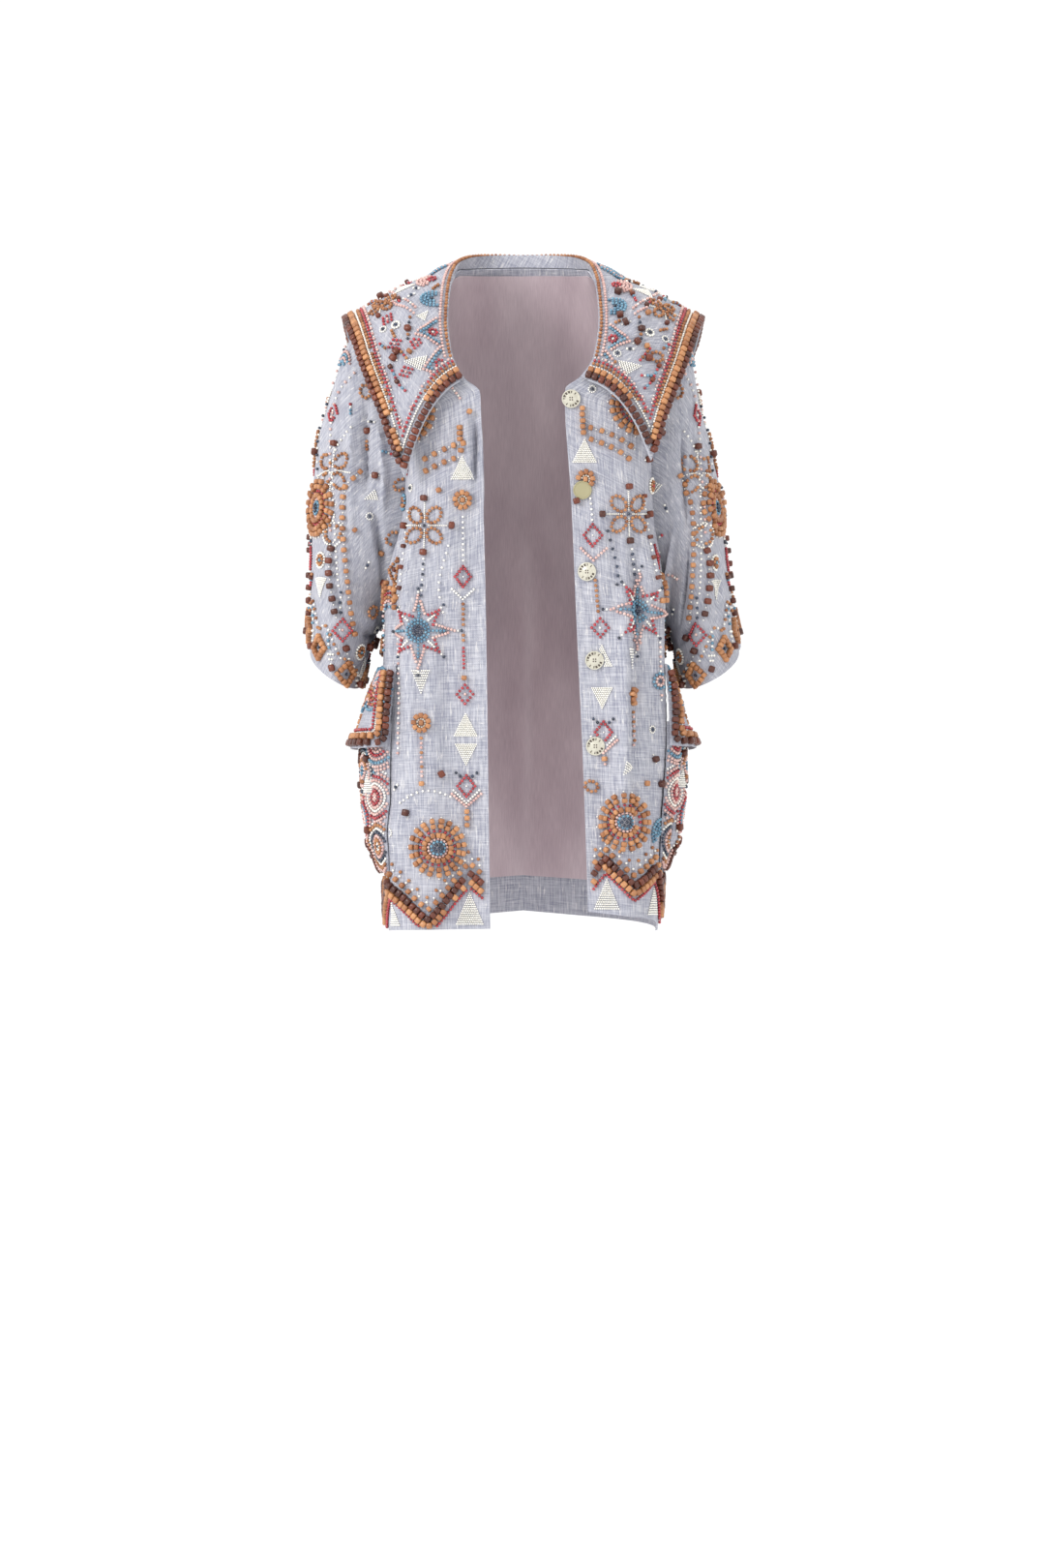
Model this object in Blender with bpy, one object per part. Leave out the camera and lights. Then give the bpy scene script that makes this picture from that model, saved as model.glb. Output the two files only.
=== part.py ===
"""A hip-length beaded coat, worn open: fronts, back, wide three-quarter sleeves, a large
pointed collar, bulging side pockets with flaps, a satin back lining, five buttons, and the
large wooden beads of its borders. Metres, +Z up, the front faces -Y. The origin is at the
neck, level with the top of the shoulders, where the wearer carries the coat.
"Left" is the wearer's left, at +X."""

import copy
import math

import bmesh
import bpy
import numpy as np

# Cloth
WALL = 0.0016
COLLAR_WALL = 0.0022
LINING_WALL = 0.0010
SEAM_PULL = 0.00030
RIM_SLANT = 0.0011
SIDES = {"left": 1, "right": -1}

# Heights along a panel, as shares of its length from hem to shoulder
UNDERARM = 0.45
NECK_CORNER = 0.765
YOKE_START = 0.78

# Rows of points up each panel: along the side seam, then along the armhole in two parts
SIDE_ROWS = 7
FRONT_ARMHOLE_ROWS = (7, 7)
BACK_ARMHOLE_ROWS = (6, 6)

# Columns of points across a front and the back, and rows up a pocket and a flap
FRONT_COLUMNS = 15
BACK_COLUMNS = 25
POCKET_ROWS = 9
FLAP_ROWS = 6
SECTION_POINTS = 121

# Shoulder seam and armhole
SHOULDER_TIP = (0.188, 0.002, -0.046)
UNDERARM_POINT = (0.165, 0.004, -0.410)
NECK_POINT = (0.078, -0.002, 0.012)
BACK_NECK = (0.0, 0.066, 0.018)
NECK_SHARE = 0.46
SLEEVE_FULLNESS = 0.8
SLEEVE_MIDDLE = 0.003
SLEEVE_SET = 0.001
BOW_SHARPNESS = 2.5
CUFF_FLARE = 0.012
CUFF_TILT = 0.25

# Folds of the body: middle, width and height of each, across a front from its edge
FRONT_FOLDS = {
    "left": [(0.20, 0.11, 0.008), (0.38, 0.09, -0.006)],
    "right": [(0.30, 0.12, 0.005), (0.10, 0.08, -0.003)],
}
BACK_FOLD = 0.006
BACK_FOLD_WAVES = 2.25

# The folds die out upwards: the height where they end, and how far below it they are full. The
# fronts' folds also die out towards the side seam, over this share of the width.
FRONT_FOLD_END = 0.62
FRONT_FOLD_FADE = 0.3
FRONT_FOLD_SIDE_FADE = 0.45
BACK_FOLD_END = 0.55
BACK_FOLD_FADE = 0.5

# The left wing of the collar lies further out and higher, from this share of its length on
WING_SHARE = 0.3
LEFT_WING_OUT = 0.005
LEFT_WING_RISE = 0.011

# Pockets and flaps: both cover the outer columns of a front, from its column SIDE_COLUMN to just
# short of the side seam, and are placed by their share of the front's height
SIDE_COLUMN = 7
SIDE_START = 0.50
SIDE_WIDTH = 0.485
SIDE_TRIM = 0.97
POCKET_FOOT = 0.085
POCKET_HEIGHT = 0.215
POCKET_BULGE = 0.023
POCKET_SIDE_ROUNDNESS = 0.7
POCKET_TOP_ROUNDNESS = 0.6
POCKET_MOUTH = 1.25
FLAP_FOOT = 0.265
FLAP_HEIGHT = 0.120
FLAP_RISE = 0.004
FLAP_STAND = 0.010
FLAP_FLARE = 0.026
FLAP_SHOULDER = 3
FLAP_SEAT = 0.0007

# Across a bead row: distance from its middle, height of a bead, height between two beads
ONE_ROW = [
    (-0.0041, 0.0, 0.0),
    (-0.0034, 0.0062, 0.0026),
    (0.0034, 0.0062, 0.0026),
    (0.0041, 0.0, 0.0),
]
TWO_ROWS = [
    (-0.0080, 0.0, 0.0),
    (-0.0050, 0.0062, 0.0026),
    (0.0000, 0.0018, 0.0018),
    (0.0042, 0.0052, 0.0026),
    (0.0078, 0.0, 0.0),
]

# Across a sunburst: share of its radius, height on a ray, height between two rays
SUNBURST_RINGS = [
    (0.30, 0.0044, 0.0044),
    (0.46, 0.0030, 0.0030),
    (0.72, 0.0056, 0.0014),
    (0.98, 0.0050, 0.0010),
    (1.00, 0.0, 0.0),
    (0.55, 0.0, 0.0),
]

# Across a button from its middle: share of its radius, share of its height
BUTTON_PROFILE = [
    (0.0, 0.0),
    (1.0, 0.0),
    (1.0, 0.8),
    (0.93, 1.0),
    (0.80, 1.0),
    (0.70, 0.6),
    (0.0, 0.6),
]

# Satin lining of the back
LINING_GAP = 0.0004
LINING_HEM_SHARE = 0.45

# Beads and buttons
BEAD_PITCH = 0.010
SEAT = 0.00095
BUTTON_SEAT = 0.00085
SUNBURST_SEAT = 0.0013
BUTTON_RADIUS = 0.011
BUTTON_HEIGHT = 0.0026
BUTTON_SIDES = 14
SUNBURST_RADIUS = 0.026
SUNBURST_RAYS = 10
SUNBURST_DOME = 0.0052
HEM_ROUTE_POINTS = 90
FRONT_HEM_REACH = (0.03, 0.95)
BACK_HEM_REACH = (-0.95, 0.95)
EDGE_INSET = 0.0088
EDGE_REACH = 0.985
EDGE_ROUTE_POINTS = 120
WING_INSET = 0.0090
WING_REACH = (0.06, 0.80)
WING_ROUTE_POINTS = 30

# Round a flap, as shares of its width and height: inset, corner radius and the two upper ends
FLAP_ROUTE_INSET = 0.07
FLAP_ROUTE_CORNER = 0.12
FLAP_ROUTE_TOPS = (0.92, 0.76)
FLAP_SIDE_POINTS = 10
FLAP_CORNER_STEPS = 5


def eased(knots, values, at):
    """Smooth values through the knots, which never swing past them."""
    knots = np.asarray(knots, float)
    values = np.asarray(values, float)
    step = np.diff(knots)
    slope = np.diff(values) / step
    tangent = np.concatenate([slope[:1], np.zeros(len(slope) - 1), slope[-1:]])
    product = slope[:-1] * slope[1:]
    total = slope[:-1] + slope[1:]
    same_way = product > 0
    tangent[1:-1][same_way] = 2 * product[same_way] / total[same_way]
    at = np.clip(np.asarray(at, float), knots[0], knots[-1])
    i = np.clip(np.searchsorted(knots, at, side="right") - 1, 0, len(step) - 1)
    t = (at - knots[i]) / step[i]
    low = values[i] * (1 + 2 * t) * (1 - t) ** 2 + tangent[i] * step[i] * t * (1 - t) ** 2
    high = values[i + 1] * t**2 * (3 - 2 * t) + tangent[i + 1] * step[i] * t**2 * (t - 1)
    return low + high


class Table:
    """Rows of named columns. The first column is the place that a row is for."""

    def __init__(self, columns, rows):
        self.columns = columns.split()
        self.rows = np.array(rows, float)

    def read(self, column, at):
        return eased(self.rows[:, 0], self.rows[:, self.columns.index(column)], at)


SIDE_SEAM = Table(
    "v x z",
    [
        (0.00, 0.159, -0.772),
        (0.10, 0.163, -0.690),
        (0.20, 0.166, -0.610),
        (0.32, 0.167, -0.512),
        (0.45, 0.165, -0.410),
    ],
)

FRONT_EDGE = Table(
    "v x_left x_right y z_left z_right",
    [
        (0.000, 0.076, 0.039, -0.140, -0.748, -0.768),
        (0.200, 0.071, 0.041, -0.139, -0.598, -0.606),
        (0.450, 0.062, 0.044, -0.138, -0.400, -0.400),
        (0.620, 0.056, 0.047, -0.138, -0.262, -0.262),
        (0.740, 0.049, 0.050, -0.135, -0.152, -0.156),
        (0.765, 0.049, 0.051, -0.133, -0.134, -0.137),
        (0.790, 0.067, 0.069, -0.130, -0.119, -0.121),
        (0.830, 0.083, 0.084, -0.115, -0.092, -0.092),
        (0.890, 0.089, 0.089, -0.080, -0.046, -0.046),
        (0.950, 0.086, 0.086, -0.037, -0.008, -0.008),
        (1.000, 0.078, 0.078, -0.002, 0.012, 0.012),
    ],
)

BACK_MIDDLE = Table(
    "v y z",
    [
        (0.00, 0.150, -0.750),
        (0.20, 0.143, -0.600),
        (0.45, 0.124, -0.400),
        (0.65, 0.123, -0.235),
        (0.80, 0.117, -0.120),
        (0.92, 0.090, -0.030),
        (1.00, 0.066, 0.018),
    ],
)

BODY_CORNERS = Table(
    "v front back",
    [(0.00, 5.6, 3.0), (0.45, 5.0, 3.0), (0.70, 3.6, 2.8), (0.85, 2.4, 2.4), (1.00, 2.0, 2.0)],
)

OVERARM = Table(
    "s x_left x_right z",
    [
        (0.00, 0.188, 0.188, -0.046),
        (0.07, 0.195, 0.204, -0.066),
        (0.16, 0.202, 0.219, -0.105),
        (0.30, 0.214, 0.238, -0.175),
        (0.46, 0.230, 0.247, -0.250),
        (0.64, 0.240, 0.251, -0.325),
        (0.82, 0.247, 0.252, -0.390),
        (1.00, 0.256, 0.253, -0.440),
    ],
)

UNDERSIDE = Table(
    "s x_left x_right z",
    [
        (0.00, 0.165, 0.165, -0.410),
        (0.15, 0.174, 0.175, -0.421),
        (0.40, 0.179, 0.182, -0.440),
        (0.70, 0.183, 0.188, -0.462),
        (1.00, 0.186, 0.192, -0.476),
    ],
)

SLEEVE_SHAPE = Table(
    "s front back bow_left bow_right flare tilt",
    [
        (0.00, 0.080, 0.088, 0.028, 0.040, 0.0, 0.0),
        (0.15, 0.084, 0.092, 0.016, 0.024, 0.0, 0.0),
        (0.40, 0.086, 0.093, 0.004, 0.006, 0.2, 0.2),
        (0.70, 0.081, 0.087, 0.000, 0.000, 0.7, 0.7),
        (1.00, 0.076, 0.080, 0.000, 0.000, 1.0, 1.0),
    ],
)

# Collar, from the front corner (0) to the middle of the back (1): its neck edge (n), its outer
# edge (e), and how far the cloth between them stands off the straight line (k).
COLLAR = Table(
    "a nx ny nz ex ey ez kx ky kz",
    [
        (0.00, 0.070, -0.1400, -0.121, 0.145, -0.148, -0.218, 0.012, -0.004, 0.038),
        (0.12, 0.083, -0.1250, -0.094, 0.164, -0.130, -0.168, 0.008, -0.012, 0.032),
        (0.25, 0.089, -0.0930, -0.052, 0.188, -0.098, -0.112, 0.006, -0.016, 0.030),
        (0.36, 0.086, -0.0500, -0.010, 0.206, -0.052, -0.064, 0.002, -0.012, 0.024),
        (0.46, 0.075, -0.0040, 0.021, 0.213, 0.004, -0.049, 0.000, 0.000, 0.014),
        (0.58, 0.058, 0.0360, 0.030, 0.206, 0.072, -0.078, 0.000, 0.014, 0.026),
        (0.72, 0.036, 0.0600, 0.033, 0.172, 0.122, -0.135, 0.004, 0.018, 0.034),
        (0.84, 0.018, 0.0690, 0.034, 0.105, 0.141, -0.160, 0.000, 0.020, 0.034),
        (1.00, 0.000, 0.0710, 0.034, 0.000, 0.146, -0.165, 0.000, 0.022, 0.034),
    ],
)

# Buttons on the left front: share of the way round from the front edge, share up from the hem
BUTTONS = Table(
    "number u v",
    [
        (1, 0.050, 0.752),
        (2, 0.100, 0.638),
        (3, 0.085, 0.520),
        (4, 0.085, 0.385),
        (5, 0.070, 0.258),
    ],
)

# Where the collar's stand is sewn to a front: place along the collar, share up the front
COLLAR_SEAM = Table("a v", [(0.00, 0.790), (0.12, 0.830), (0.25, 0.875), (0.36, 0.930), (0.46, 1.000)])
STAND_GAP = 0.0009
STAND_PLACE = -0.15
COLLAR_ROWS = 7

# Where a sleeve's rings lie from armhole to cuff, and a collar half's columns from the back out
SLEEVE_RINGS = [0.0, 0.07, 0.17, 0.30, 0.45, 0.62, 0.80, 1.0]
COLLAR_PLACES = [0.06, 0.14, 0.22, 0.30, 0.38, 0.46, 0.54, 0.62, 0.70, 0.78, 0.86, 0.93, 1.0]

# Sunbursts: share of the way round a front from its edge, share up from the hem
FRONT_SUNBURSTS = {"left": (0.22, 0.145), "right": (0.25, 0.118)}
SLEEVE_SUNBURST = (0.085, 0.47)

# Hem border: share of the way round, height above the hem, for each panel
HEM_LEFT = Table(
    "u rise",
    [
        (0.02, 0.040),
        (0.11, 0.064),
        (0.26, 0.036),
        (0.41, 0.060),
        (0.58, 0.020),
        (0.76, 0.056),
        (0.96, 0.022),
    ],
)

HEM_RIGHT = Table(
    "u rise",
    [
        (0.02, 0.050),
        (0.10, 0.066),
        (0.30, 0.012),
        (0.50, 0.056),
        (0.72, 0.018),
        (0.96, 0.058),
    ],
)

HEM_FRONTS = {"left": HEM_LEFT, "right": HEM_RIGHT}

HEM_BACK = Table(
    "u rise",
    [
        (-0.97, 0.050),
        (-0.80, 0.018),
        (-0.60, 0.060),
        (-0.40, 0.018),
        (-0.20, 0.060),
        (0.00, 0.018),
        (0.20, 0.060),
        (0.40, 0.018),
        (0.60, 0.060),
        (0.80, 0.018),
        (0.97, 0.050),
    ],
)


def sleeve_point(side, s, angle):
    """A point on a sleeve: s runs from armhole to cuff, angle from the overarm round the front."""
    x_top = OVERARM.read("x_" + side, s)
    x_under = UNDERSIDE.read("x_" + side, s)
    z_top = OVERARM.read("z", s)
    z_under = UNDERSIDE.read("z", s)
    lean = math.cos(angle)
    swell = math.sin(angle)
    full = abs(swell) ** SLEEVE_FULLNESS
    depth = SLEEVE_SHAPE.read("front" if swell > 0 else "back", s)
    flare = 0.0 if swell > 0 else CUFF_FLARE * float(SLEEVE_SHAPE.read("flare", s)) * full
    bow = float(SLEEVE_SHAPE.read("bow_" + side, s)) * abs(swell) ** BOW_SHARPNESS
    y_off = -math.copysign(float(depth) * full, swell)
    x = (x_top + x_under) / 2 + (x_top - x_under) / 2 * lean - bow + flare
    y = SLEEVE_MIDDLE - SLEEVE_SET * lean + y_off
    z = (z_top + z_under) / 2 + (z_top - z_under) / 2 * lean
    z = z + CUFF_TILT * float(SLEEVE_SHAPE.read("tilt", s)) * y_off
    return np.array([SIDES[side] * x, y, z])


def outer_edge(side, v, back):
    """The side seam up to the underarm, then the armhole up to the shoulder tip."""
    if v <= UNDERARM:
        x = float(SIDE_SEAM.read("x", v))
        return np.array([SIDES[side] * x, UNDERARM_POINT[1], float(SIDE_SEAM.read("z", v))])
    angle = armhole_angle(v)
    return sleeve_point(side, 0.0, 2 * math.pi - angle if back else angle)


def section(middle, outer, corner, shares):
    """A rounded-corner line from the middle of a panel out and round to its side, as points at
    equal shares of its length."""
    angle = np.linspace(0, math.pi / 2, SECTION_POINTS)
    across = np.sin(angle) ** (2 / corner)
    toward = np.cos(angle) ** (2 / corner)
    x = middle[0] + (outer[0] - middle[0]) * across
    y = outer[1] + (middle[1] - outer[1]) * toward
    run = np.concatenate([[0], np.cumsum(np.hypot(np.diff(x), np.diff(y)))])
    run = run / run[-1]
    z = middle[2] + (outer[2] - middle[2]) * shares
    return np.stack([np.interp(shares, run, x), np.interp(shares, run, y), z], axis=-1)


def bell(x, middle, width):
    return np.exp(-(((x - middle) / width) ** 2))


def front_row(side, v, shares):
    middle = np.array(
        [
            SIDES[side] * float(FRONT_EDGE.read("x_" + side, v)),
            float(FRONT_EDGE.read("y", v)),
            float(FRONT_EDGE.read("z_" + side, v)),
        ]
    )
    row = section(middle, outer_edge(side, v, False), float(BODY_CORNERS.read("front", v)), shares)
    row[:, 1] -= front_fold(side, shares, v)
    return row


def front_fold(side, u, v):
    """How far the soft folds of a front stand out."""
    low = np.clip((FRONT_FOLD_END - v) / FRONT_FOLD_FADE, 0, 1)
    low = low * np.clip((1 - u) / FRONT_FOLD_SIDE_FADE, 0, 1)
    return low * sum(height * bell(u, middle, width) for middle, width, height in FRONT_FOLDS[side])


def back_row(v, shares):
    middle = np.array([0.0, float(BACK_MIDDLE.read("y", v)), float(BACK_MIDDLE.read("z", v))])
    corner = float(BODY_CORNERS.read("back", v))
    halves = {}
    for side in SIDES:
        halves[side] = section(middle, outer_edge(side, v, True), corner, np.abs(shares))
    row = np.where((shares > 0)[:, None], halves["left"], halves["right"])
    wave = np.cos(2 * math.pi * BACK_FOLD_WAVES * shares)
    row[:, 1] += BACK_FOLD * np.clip((BACK_FOLD_END - v) / BACK_FOLD_FADE, 0, 1) * wave
    rise = (v - YOKE_START) / (1 - YOKE_START)
    if rise > 0:
        top = shoulder_line(shares)
        flat = section(np.array(BACK_NECK), np.array(SHOULDER_TIP), 2.0, np.abs(shares))
        flat[:, 0] *= np.sign(shares)
        slow = 1 - math.cos(math.pi / 2 * rise)
        fast = math.sin(math.pi / 2 * rise)
        row += (top - flat) * np.array([slow, slow, fast])
    return row


def shoulder_line(shares):
    """The top of the back: round the neck, then straight along both shoulder seams."""
    points = []
    for share in shares:
        size = abs(share)
        if size < NECK_SHARE:
            turn = math.pi / 2 * size / NECK_SHARE
            x = NECK_POINT[0] * math.sin(turn)
            y = NECK_POINT[1] + (BACK_NECK[1] - NECK_POINT[1]) * math.cos(turn)
            z = NECK_POINT[2] + (BACK_NECK[2] - NECK_POINT[2]) * math.cos(turn)
        else:
            out = (size - NECK_SHARE) / (1 - NECK_SHARE)
            x, y, z = (np.array(NECK_POINT) * (1 - out) + np.array(SHOULDER_TIP) * out).tolist()
        points.append((math.copysign(x, share), y, z))
    return np.array(points)


def neck_seam(place):
    """The point of the neck seam that a place along the collar is sewn to."""
    a = 1 - abs(place)
    if a >= NECK_SHARE:
        turn = math.pi / 2 * (1 - a) / (1 - NECK_SHARE)
        share = math.copysign(NECK_SHARE * turn / (math.pi / 2), place)
        return shoulder_line([share])[0]
    side = "left" if place > 0 else "right"
    v = COLLAR_SEAM.read("v", a)
    x = float(FRONT_EDGE.read("x_" + side, v))
    return np.array([SIDES[side] * x, FRONT_EDGE.read("y", v), FRONT_EDGE.read("z_" + side, v)])


def stand_row(fold, places):
    """The collar's sewn edge: the neck seam, moved a little towards the collar's fold."""
    seam = np.array([neck_seam(place) for place in places])
    away = fold - seam
    return seam + away / np.linalg.norm(away, axis=-1, keepdims=True) * STAND_GAP


def collar_row(r, places):
    """One line of the collar at share r of its width; places run from -1, the right front
    corner, through 0, the middle of the back, to 1, the left front corner."""
    a = 1 - np.abs(places)
    neck = np.stack([COLLAR.read(name, a) for name in ("nx", "ny", "nz")], axis=-1)
    edge = np.stack([COLLAR.read(name, a) for name in ("ex", "ey", "ez")], axis=-1)
    lift = np.stack([COLLAR.read(name, a) for name in ("kx", "ky", "kz")], axis=-1)
    wing = np.clip(1 - a / WING_SHARE, 0, 1) * (places > 0)
    edge[:, 0] += LEFT_WING_OUT * wing
    edge[:, 2] += LEFT_WING_RISE * wing
    control = (neck + edge) / 2 + lift
    row = neck * (1 - r) ** 2 + control * 2 * r * (1 - r) + edge * r**2
    row[:, 0] *= np.where(places < 0, -1, 1)
    return row


class Cloth:
    """A panel's outer points in rows, and the way out from it at each."""

    def __init__(self, us, vs, points, turn, closed=False):
        self.us = np.asarray(us, float)
        self.vs = np.asarray(vs, float)
        self.points = points
        if closed:
            ring = np.concatenate([points[:, -2:-1], points, points[:, 1:2]], axis=1)
            along = np.gradient(ring, axis=1)[:, 1:-1]
        else:
            along = np.gradient(points, axis=1)
        up = np.gradient(points, axis=0)
        out = turn * np.cross(along, up)
        self.normals = out / np.linalg.norm(out, axis=-1, keepdims=True)

    def place(self, u, v):
        """The point at (u, v) on the flat triangles between the panel's points, and its normal."""
        i = int(np.clip(np.searchsorted(self.us, u) - 1, 0, len(self.us) - 2))
        j = int(np.clip(np.searchsorted(self.vs, v) - 1, 0, len(self.vs) - 2))
        fu = (u - self.us[i]) / (self.us[i + 1] - self.us[i])
        fv = (v - self.vs[j]) / (self.vs[j + 1] - self.vs[j])
        found = []
        for field in (self.points, self.normals):
            corner, far = field[j, i], field[j + 1, i + 1]
            if fu >= fv:
                side = field[j, i + 1]
                found.append(corner + fu * (side - corner) + fv * (far - side))
            else:
                side = field[j + 1, i]
                found.append(corner + fv * (side - corner) + fu * (far - side))
        return found[0], found[1] / np.linalg.norm(found[1])

    def step(self, u, v, shift):
        """Where (u, v) comes to after moving by a small shift along the cloth."""
        du = (self.us[-1] - self.us[0]) * 0.02
        dv = (self.vs[-1] - self.vs[0]) * 0.02
        su = -1 if u + du > self.us[-1] else 1
        sv = -1 if v + dv > self.vs[-1] else 1
        here, _ = self.place(u, v)
        along = (self.place(u + su * du, v)[0] - here) / (su * du)
        up = (self.place(u, v + sv * dv)[0] - here) / (sv * dv)
        move, *_ = np.linalg.lstsq(np.stack([along, up], axis=1), shift, rcond=None)
        return u + move[0], v + move[1]

    def raised(self, u, v, height):
        point, normal = self.place(u, v)
        return point + normal * height

    def inside(self, depth):
        """The same cloth without its border points, a little further in, for a layer behind it."""
        layer = copy.copy(self)
        layer.us = self.us[1:-1]
        layer.vs = self.vs[1:-1]
        layer.normals = self.normals[1:-1, 1:-1]
        layer.points = self.points[1:-1, 1:-1] - layer.normals * depth
        return layer


def pulled_in(points, rows=(), columns=(), distance=SEAM_PULL):
    """Moves the named border rows and columns a little towards their neighbours."""
    points = points.copy()
    for j, near in rows:
        move = points[near] - points[j]
        points[j] += move / np.linalg.norm(move, axis=-1, keepdims=True) * distance
    for i, near in columns:
        move = points[:, near] - points[:, i]
        points[:, i] += move / np.linalg.norm(move, axis=-1, keepdims=True) * distance
    return points


def finished(name, bm, finish, smooth_angle):
    """Makes the mesh's object, with its faces out, its round parts smooth and its finish on."""
    bmesh.ops.recalc_face_normals(bm, faces=bm.faces[:])
    if bm.calc_volume(signed=True) < 0:
        bmesh.ops.reverse_faces(bm, faces=bm.faces[:])
    mesh = bpy.data.meshes.new(name)
    bm.to_mesh(mesh)
    bm.free()
    obj = bpy.data.objects.new(name, mesh)
    bpy.context.scene.collection.objects.link(obj)
    mesh.shade_smooth()
    mesh.set_sharp_from_angle(angle=math.radians(smooth_angle))
    mesh.materials.append(finish)


def object_of(name, points, faces, finish, smooth_angle=35.0):
    bm = bmesh.new()
    verts = [bm.verts.new(tuple(map(float, point))) for point in points]
    for face in faces:
        bm.faces.new([verts[k] for k in face])
    finished(name, bm, finish, smooth_angle)


def finish_of(name, colour, roughness, metallic=0.0):
    """A plain finish; colour is linear red, green and blue."""
    material = bpy.data.materials.new(name)
    material.use_nodes = True
    shader = material.node_tree.nodes["Principled BSDF"]
    shader.inputs["Base Color"].default_value = (*colour, 1.0)
    shader.inputs["Roughness"].default_value = roughness
    shader.inputs["Metallic"].default_value = metallic
    return material


def wall(name, cloth, thickness, finish, closed=False):
    """A cloth wall: the panel's outer points, the same points moved in, and its rims."""
    rows, columns = cloth.points.shape[:2]
    if closed:
        columns -= 1
    outer = cloth.points[:, :columns]
    inner = outer - cloth.normals[:, :columns] * thickness
    borders = [(0, 1), (-1, -2)]
    inner = pulled_in(inner, borders, [] if closed else borders, RIM_SLANT)
    outer = outer.reshape(-1, 3)
    inner = inner.reshape(-1, 3)
    count = rows * columns
    faces = []

    def strip(a, b, c, d):
        """Two triangles that share the diagonal from a to c."""
        faces.append((a, b, c))
        faces.append((a, c, d))

    last = columns if closed else columns - 1
    for j in range(rows - 1):
        for i in range(last):
            a = j * columns + i
            b = j * columns + (i + 1) % columns
            strip(a, b, b + columns, a + columns)
            strip(count + a, count + a + columns, count + b + columns, count + b)
    for i in range(last):
        following = (i + 1) % columns
        top = (rows - 1) * columns
        strip(i, count + i, count + following, following)
        strip(top + following, count + top + following, count + top + i, top + i)
    if not closed:
        for j in range(rows - 1):
            low, high = j * columns, (j + 1) * columns
            strip(low, high, count + high, count + low)
            end_low, end_high = low + columns - 1, high + columns - 1
            strip(end_low, count + end_low, count + end_high, end_high)
    object_of(name, np.concatenate([outer, inner]), faces, finish)


def spaced(cloth, route, spacing):
    """The route's (u, v) points again, at an even spacing in metres, with the end kept."""
    route = np.asarray(route, float)
    points = np.array([cloth.place(u, v)[0] for u, v in route])
    run = np.concatenate([[0], np.cumsum(np.linalg.norm(np.diff(points, axis=0), axis=1))])
    count = max(2, round(run[-1] / spacing))
    at = np.linspace(0, run[-1], count + 1)
    return np.stack([np.interp(at, run, route[:, 0]), np.interp(at, run, route[:, 1])], axis=-1)


def bead_strip(name, cloth, route, profile, finish):
    """A row of large beads on the cloth. The profile gives, across the row, how high a bead and
    the dip between two beads stand."""
    stations = spaced(cloth, route, BEAD_PITCH / 2)
    if len(stations) % 2 == 0:
        stations = spaced(cloth, route, BEAD_PITCH / 2 * 1.02)
    centres = np.array([cloth.place(u, v)[0] for u, v in stations])
    travel = np.gradient(centres, axis=0)
    rings = []
    for k, (u, v) in enumerate(stations):
        normal = cloth.place(u, v)[1]
        sideways = np.cross(normal, travel[k])
        sideways = sideways / np.linalg.norm(sideways)
        ring = []
        for across, bead, dip in profile:
            at_u, at_v = cloth.step(u, v, sideways * across)
            ring.append(cloth.raised(at_u, at_v, SEAT + (bead if k % 2 else dip)))
        rings.append(ring)
    size = len(rings[0])
    points = [point for ring in rings for point in ring]
    faces = []
    for k in range(len(rings) - 1):
        for m in range(size):
            a = k * size + m
            b = k * size + (m + 1) % size
            faces.append((a, b, b + size))
            faces.append((a, b + size, a + size))
    end = (len(rings) - 1) * size
    for m in range(1, size - 1):
        faces.append((0, m + 1, m))
        faces.append((end, end + m, end + m + 1))
    object_of(name, points, faces, finish, 30.0)


def sunburst(name, cloth, u, v, finish):
    """A round of beads sewn as rays about a domed middle, laid on the cloth."""
    middle, normal = cloth.place(u, v)
    ahead = np.cross(normal, np.array([0.0, 0.0, 1.0]))
    ahead = ahead / np.linalg.norm(ahead)
    upward = np.cross(ahead, normal)
    count = 2 * SUNBURST_RAYS
    points = [middle + normal * (SUNBURST_SEAT + SUNBURST_DOME)]
    for share, ray, between in SUNBURST_RINGS:
        for k in range(count):
            turn = 2 * math.pi * k / count
            shift = (ahead * math.cos(turn) + upward * math.sin(turn)) * SUNBURST_RADIUS * share
            at_u, at_v = cloth.step(u, v, shift)
            points.append(cloth.raised(at_u, at_v, SUNBURST_SEAT + (ray if k % 2 else between)))
    points.append(middle + normal * SUNBURST_SEAT)
    faces = []
    for k in range(count):
        after = (k + 1) % count
        faces.append((0, 1 + k, 1 + after))
        for ring in range(len(SUNBURST_RINGS) - 1):
            a = 1 + ring * count + k
            b = 1 + ring * count + after
            faces.append((a, a + count, b + count))
            faces.append((a, b + count, b))
        base = 1 + (len(SUNBURST_RINGS) - 1) * count
        faces.append((base + k, len(points) - 1, base + after))
    object_of(name, points, faces, finish, 30.0)


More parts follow.
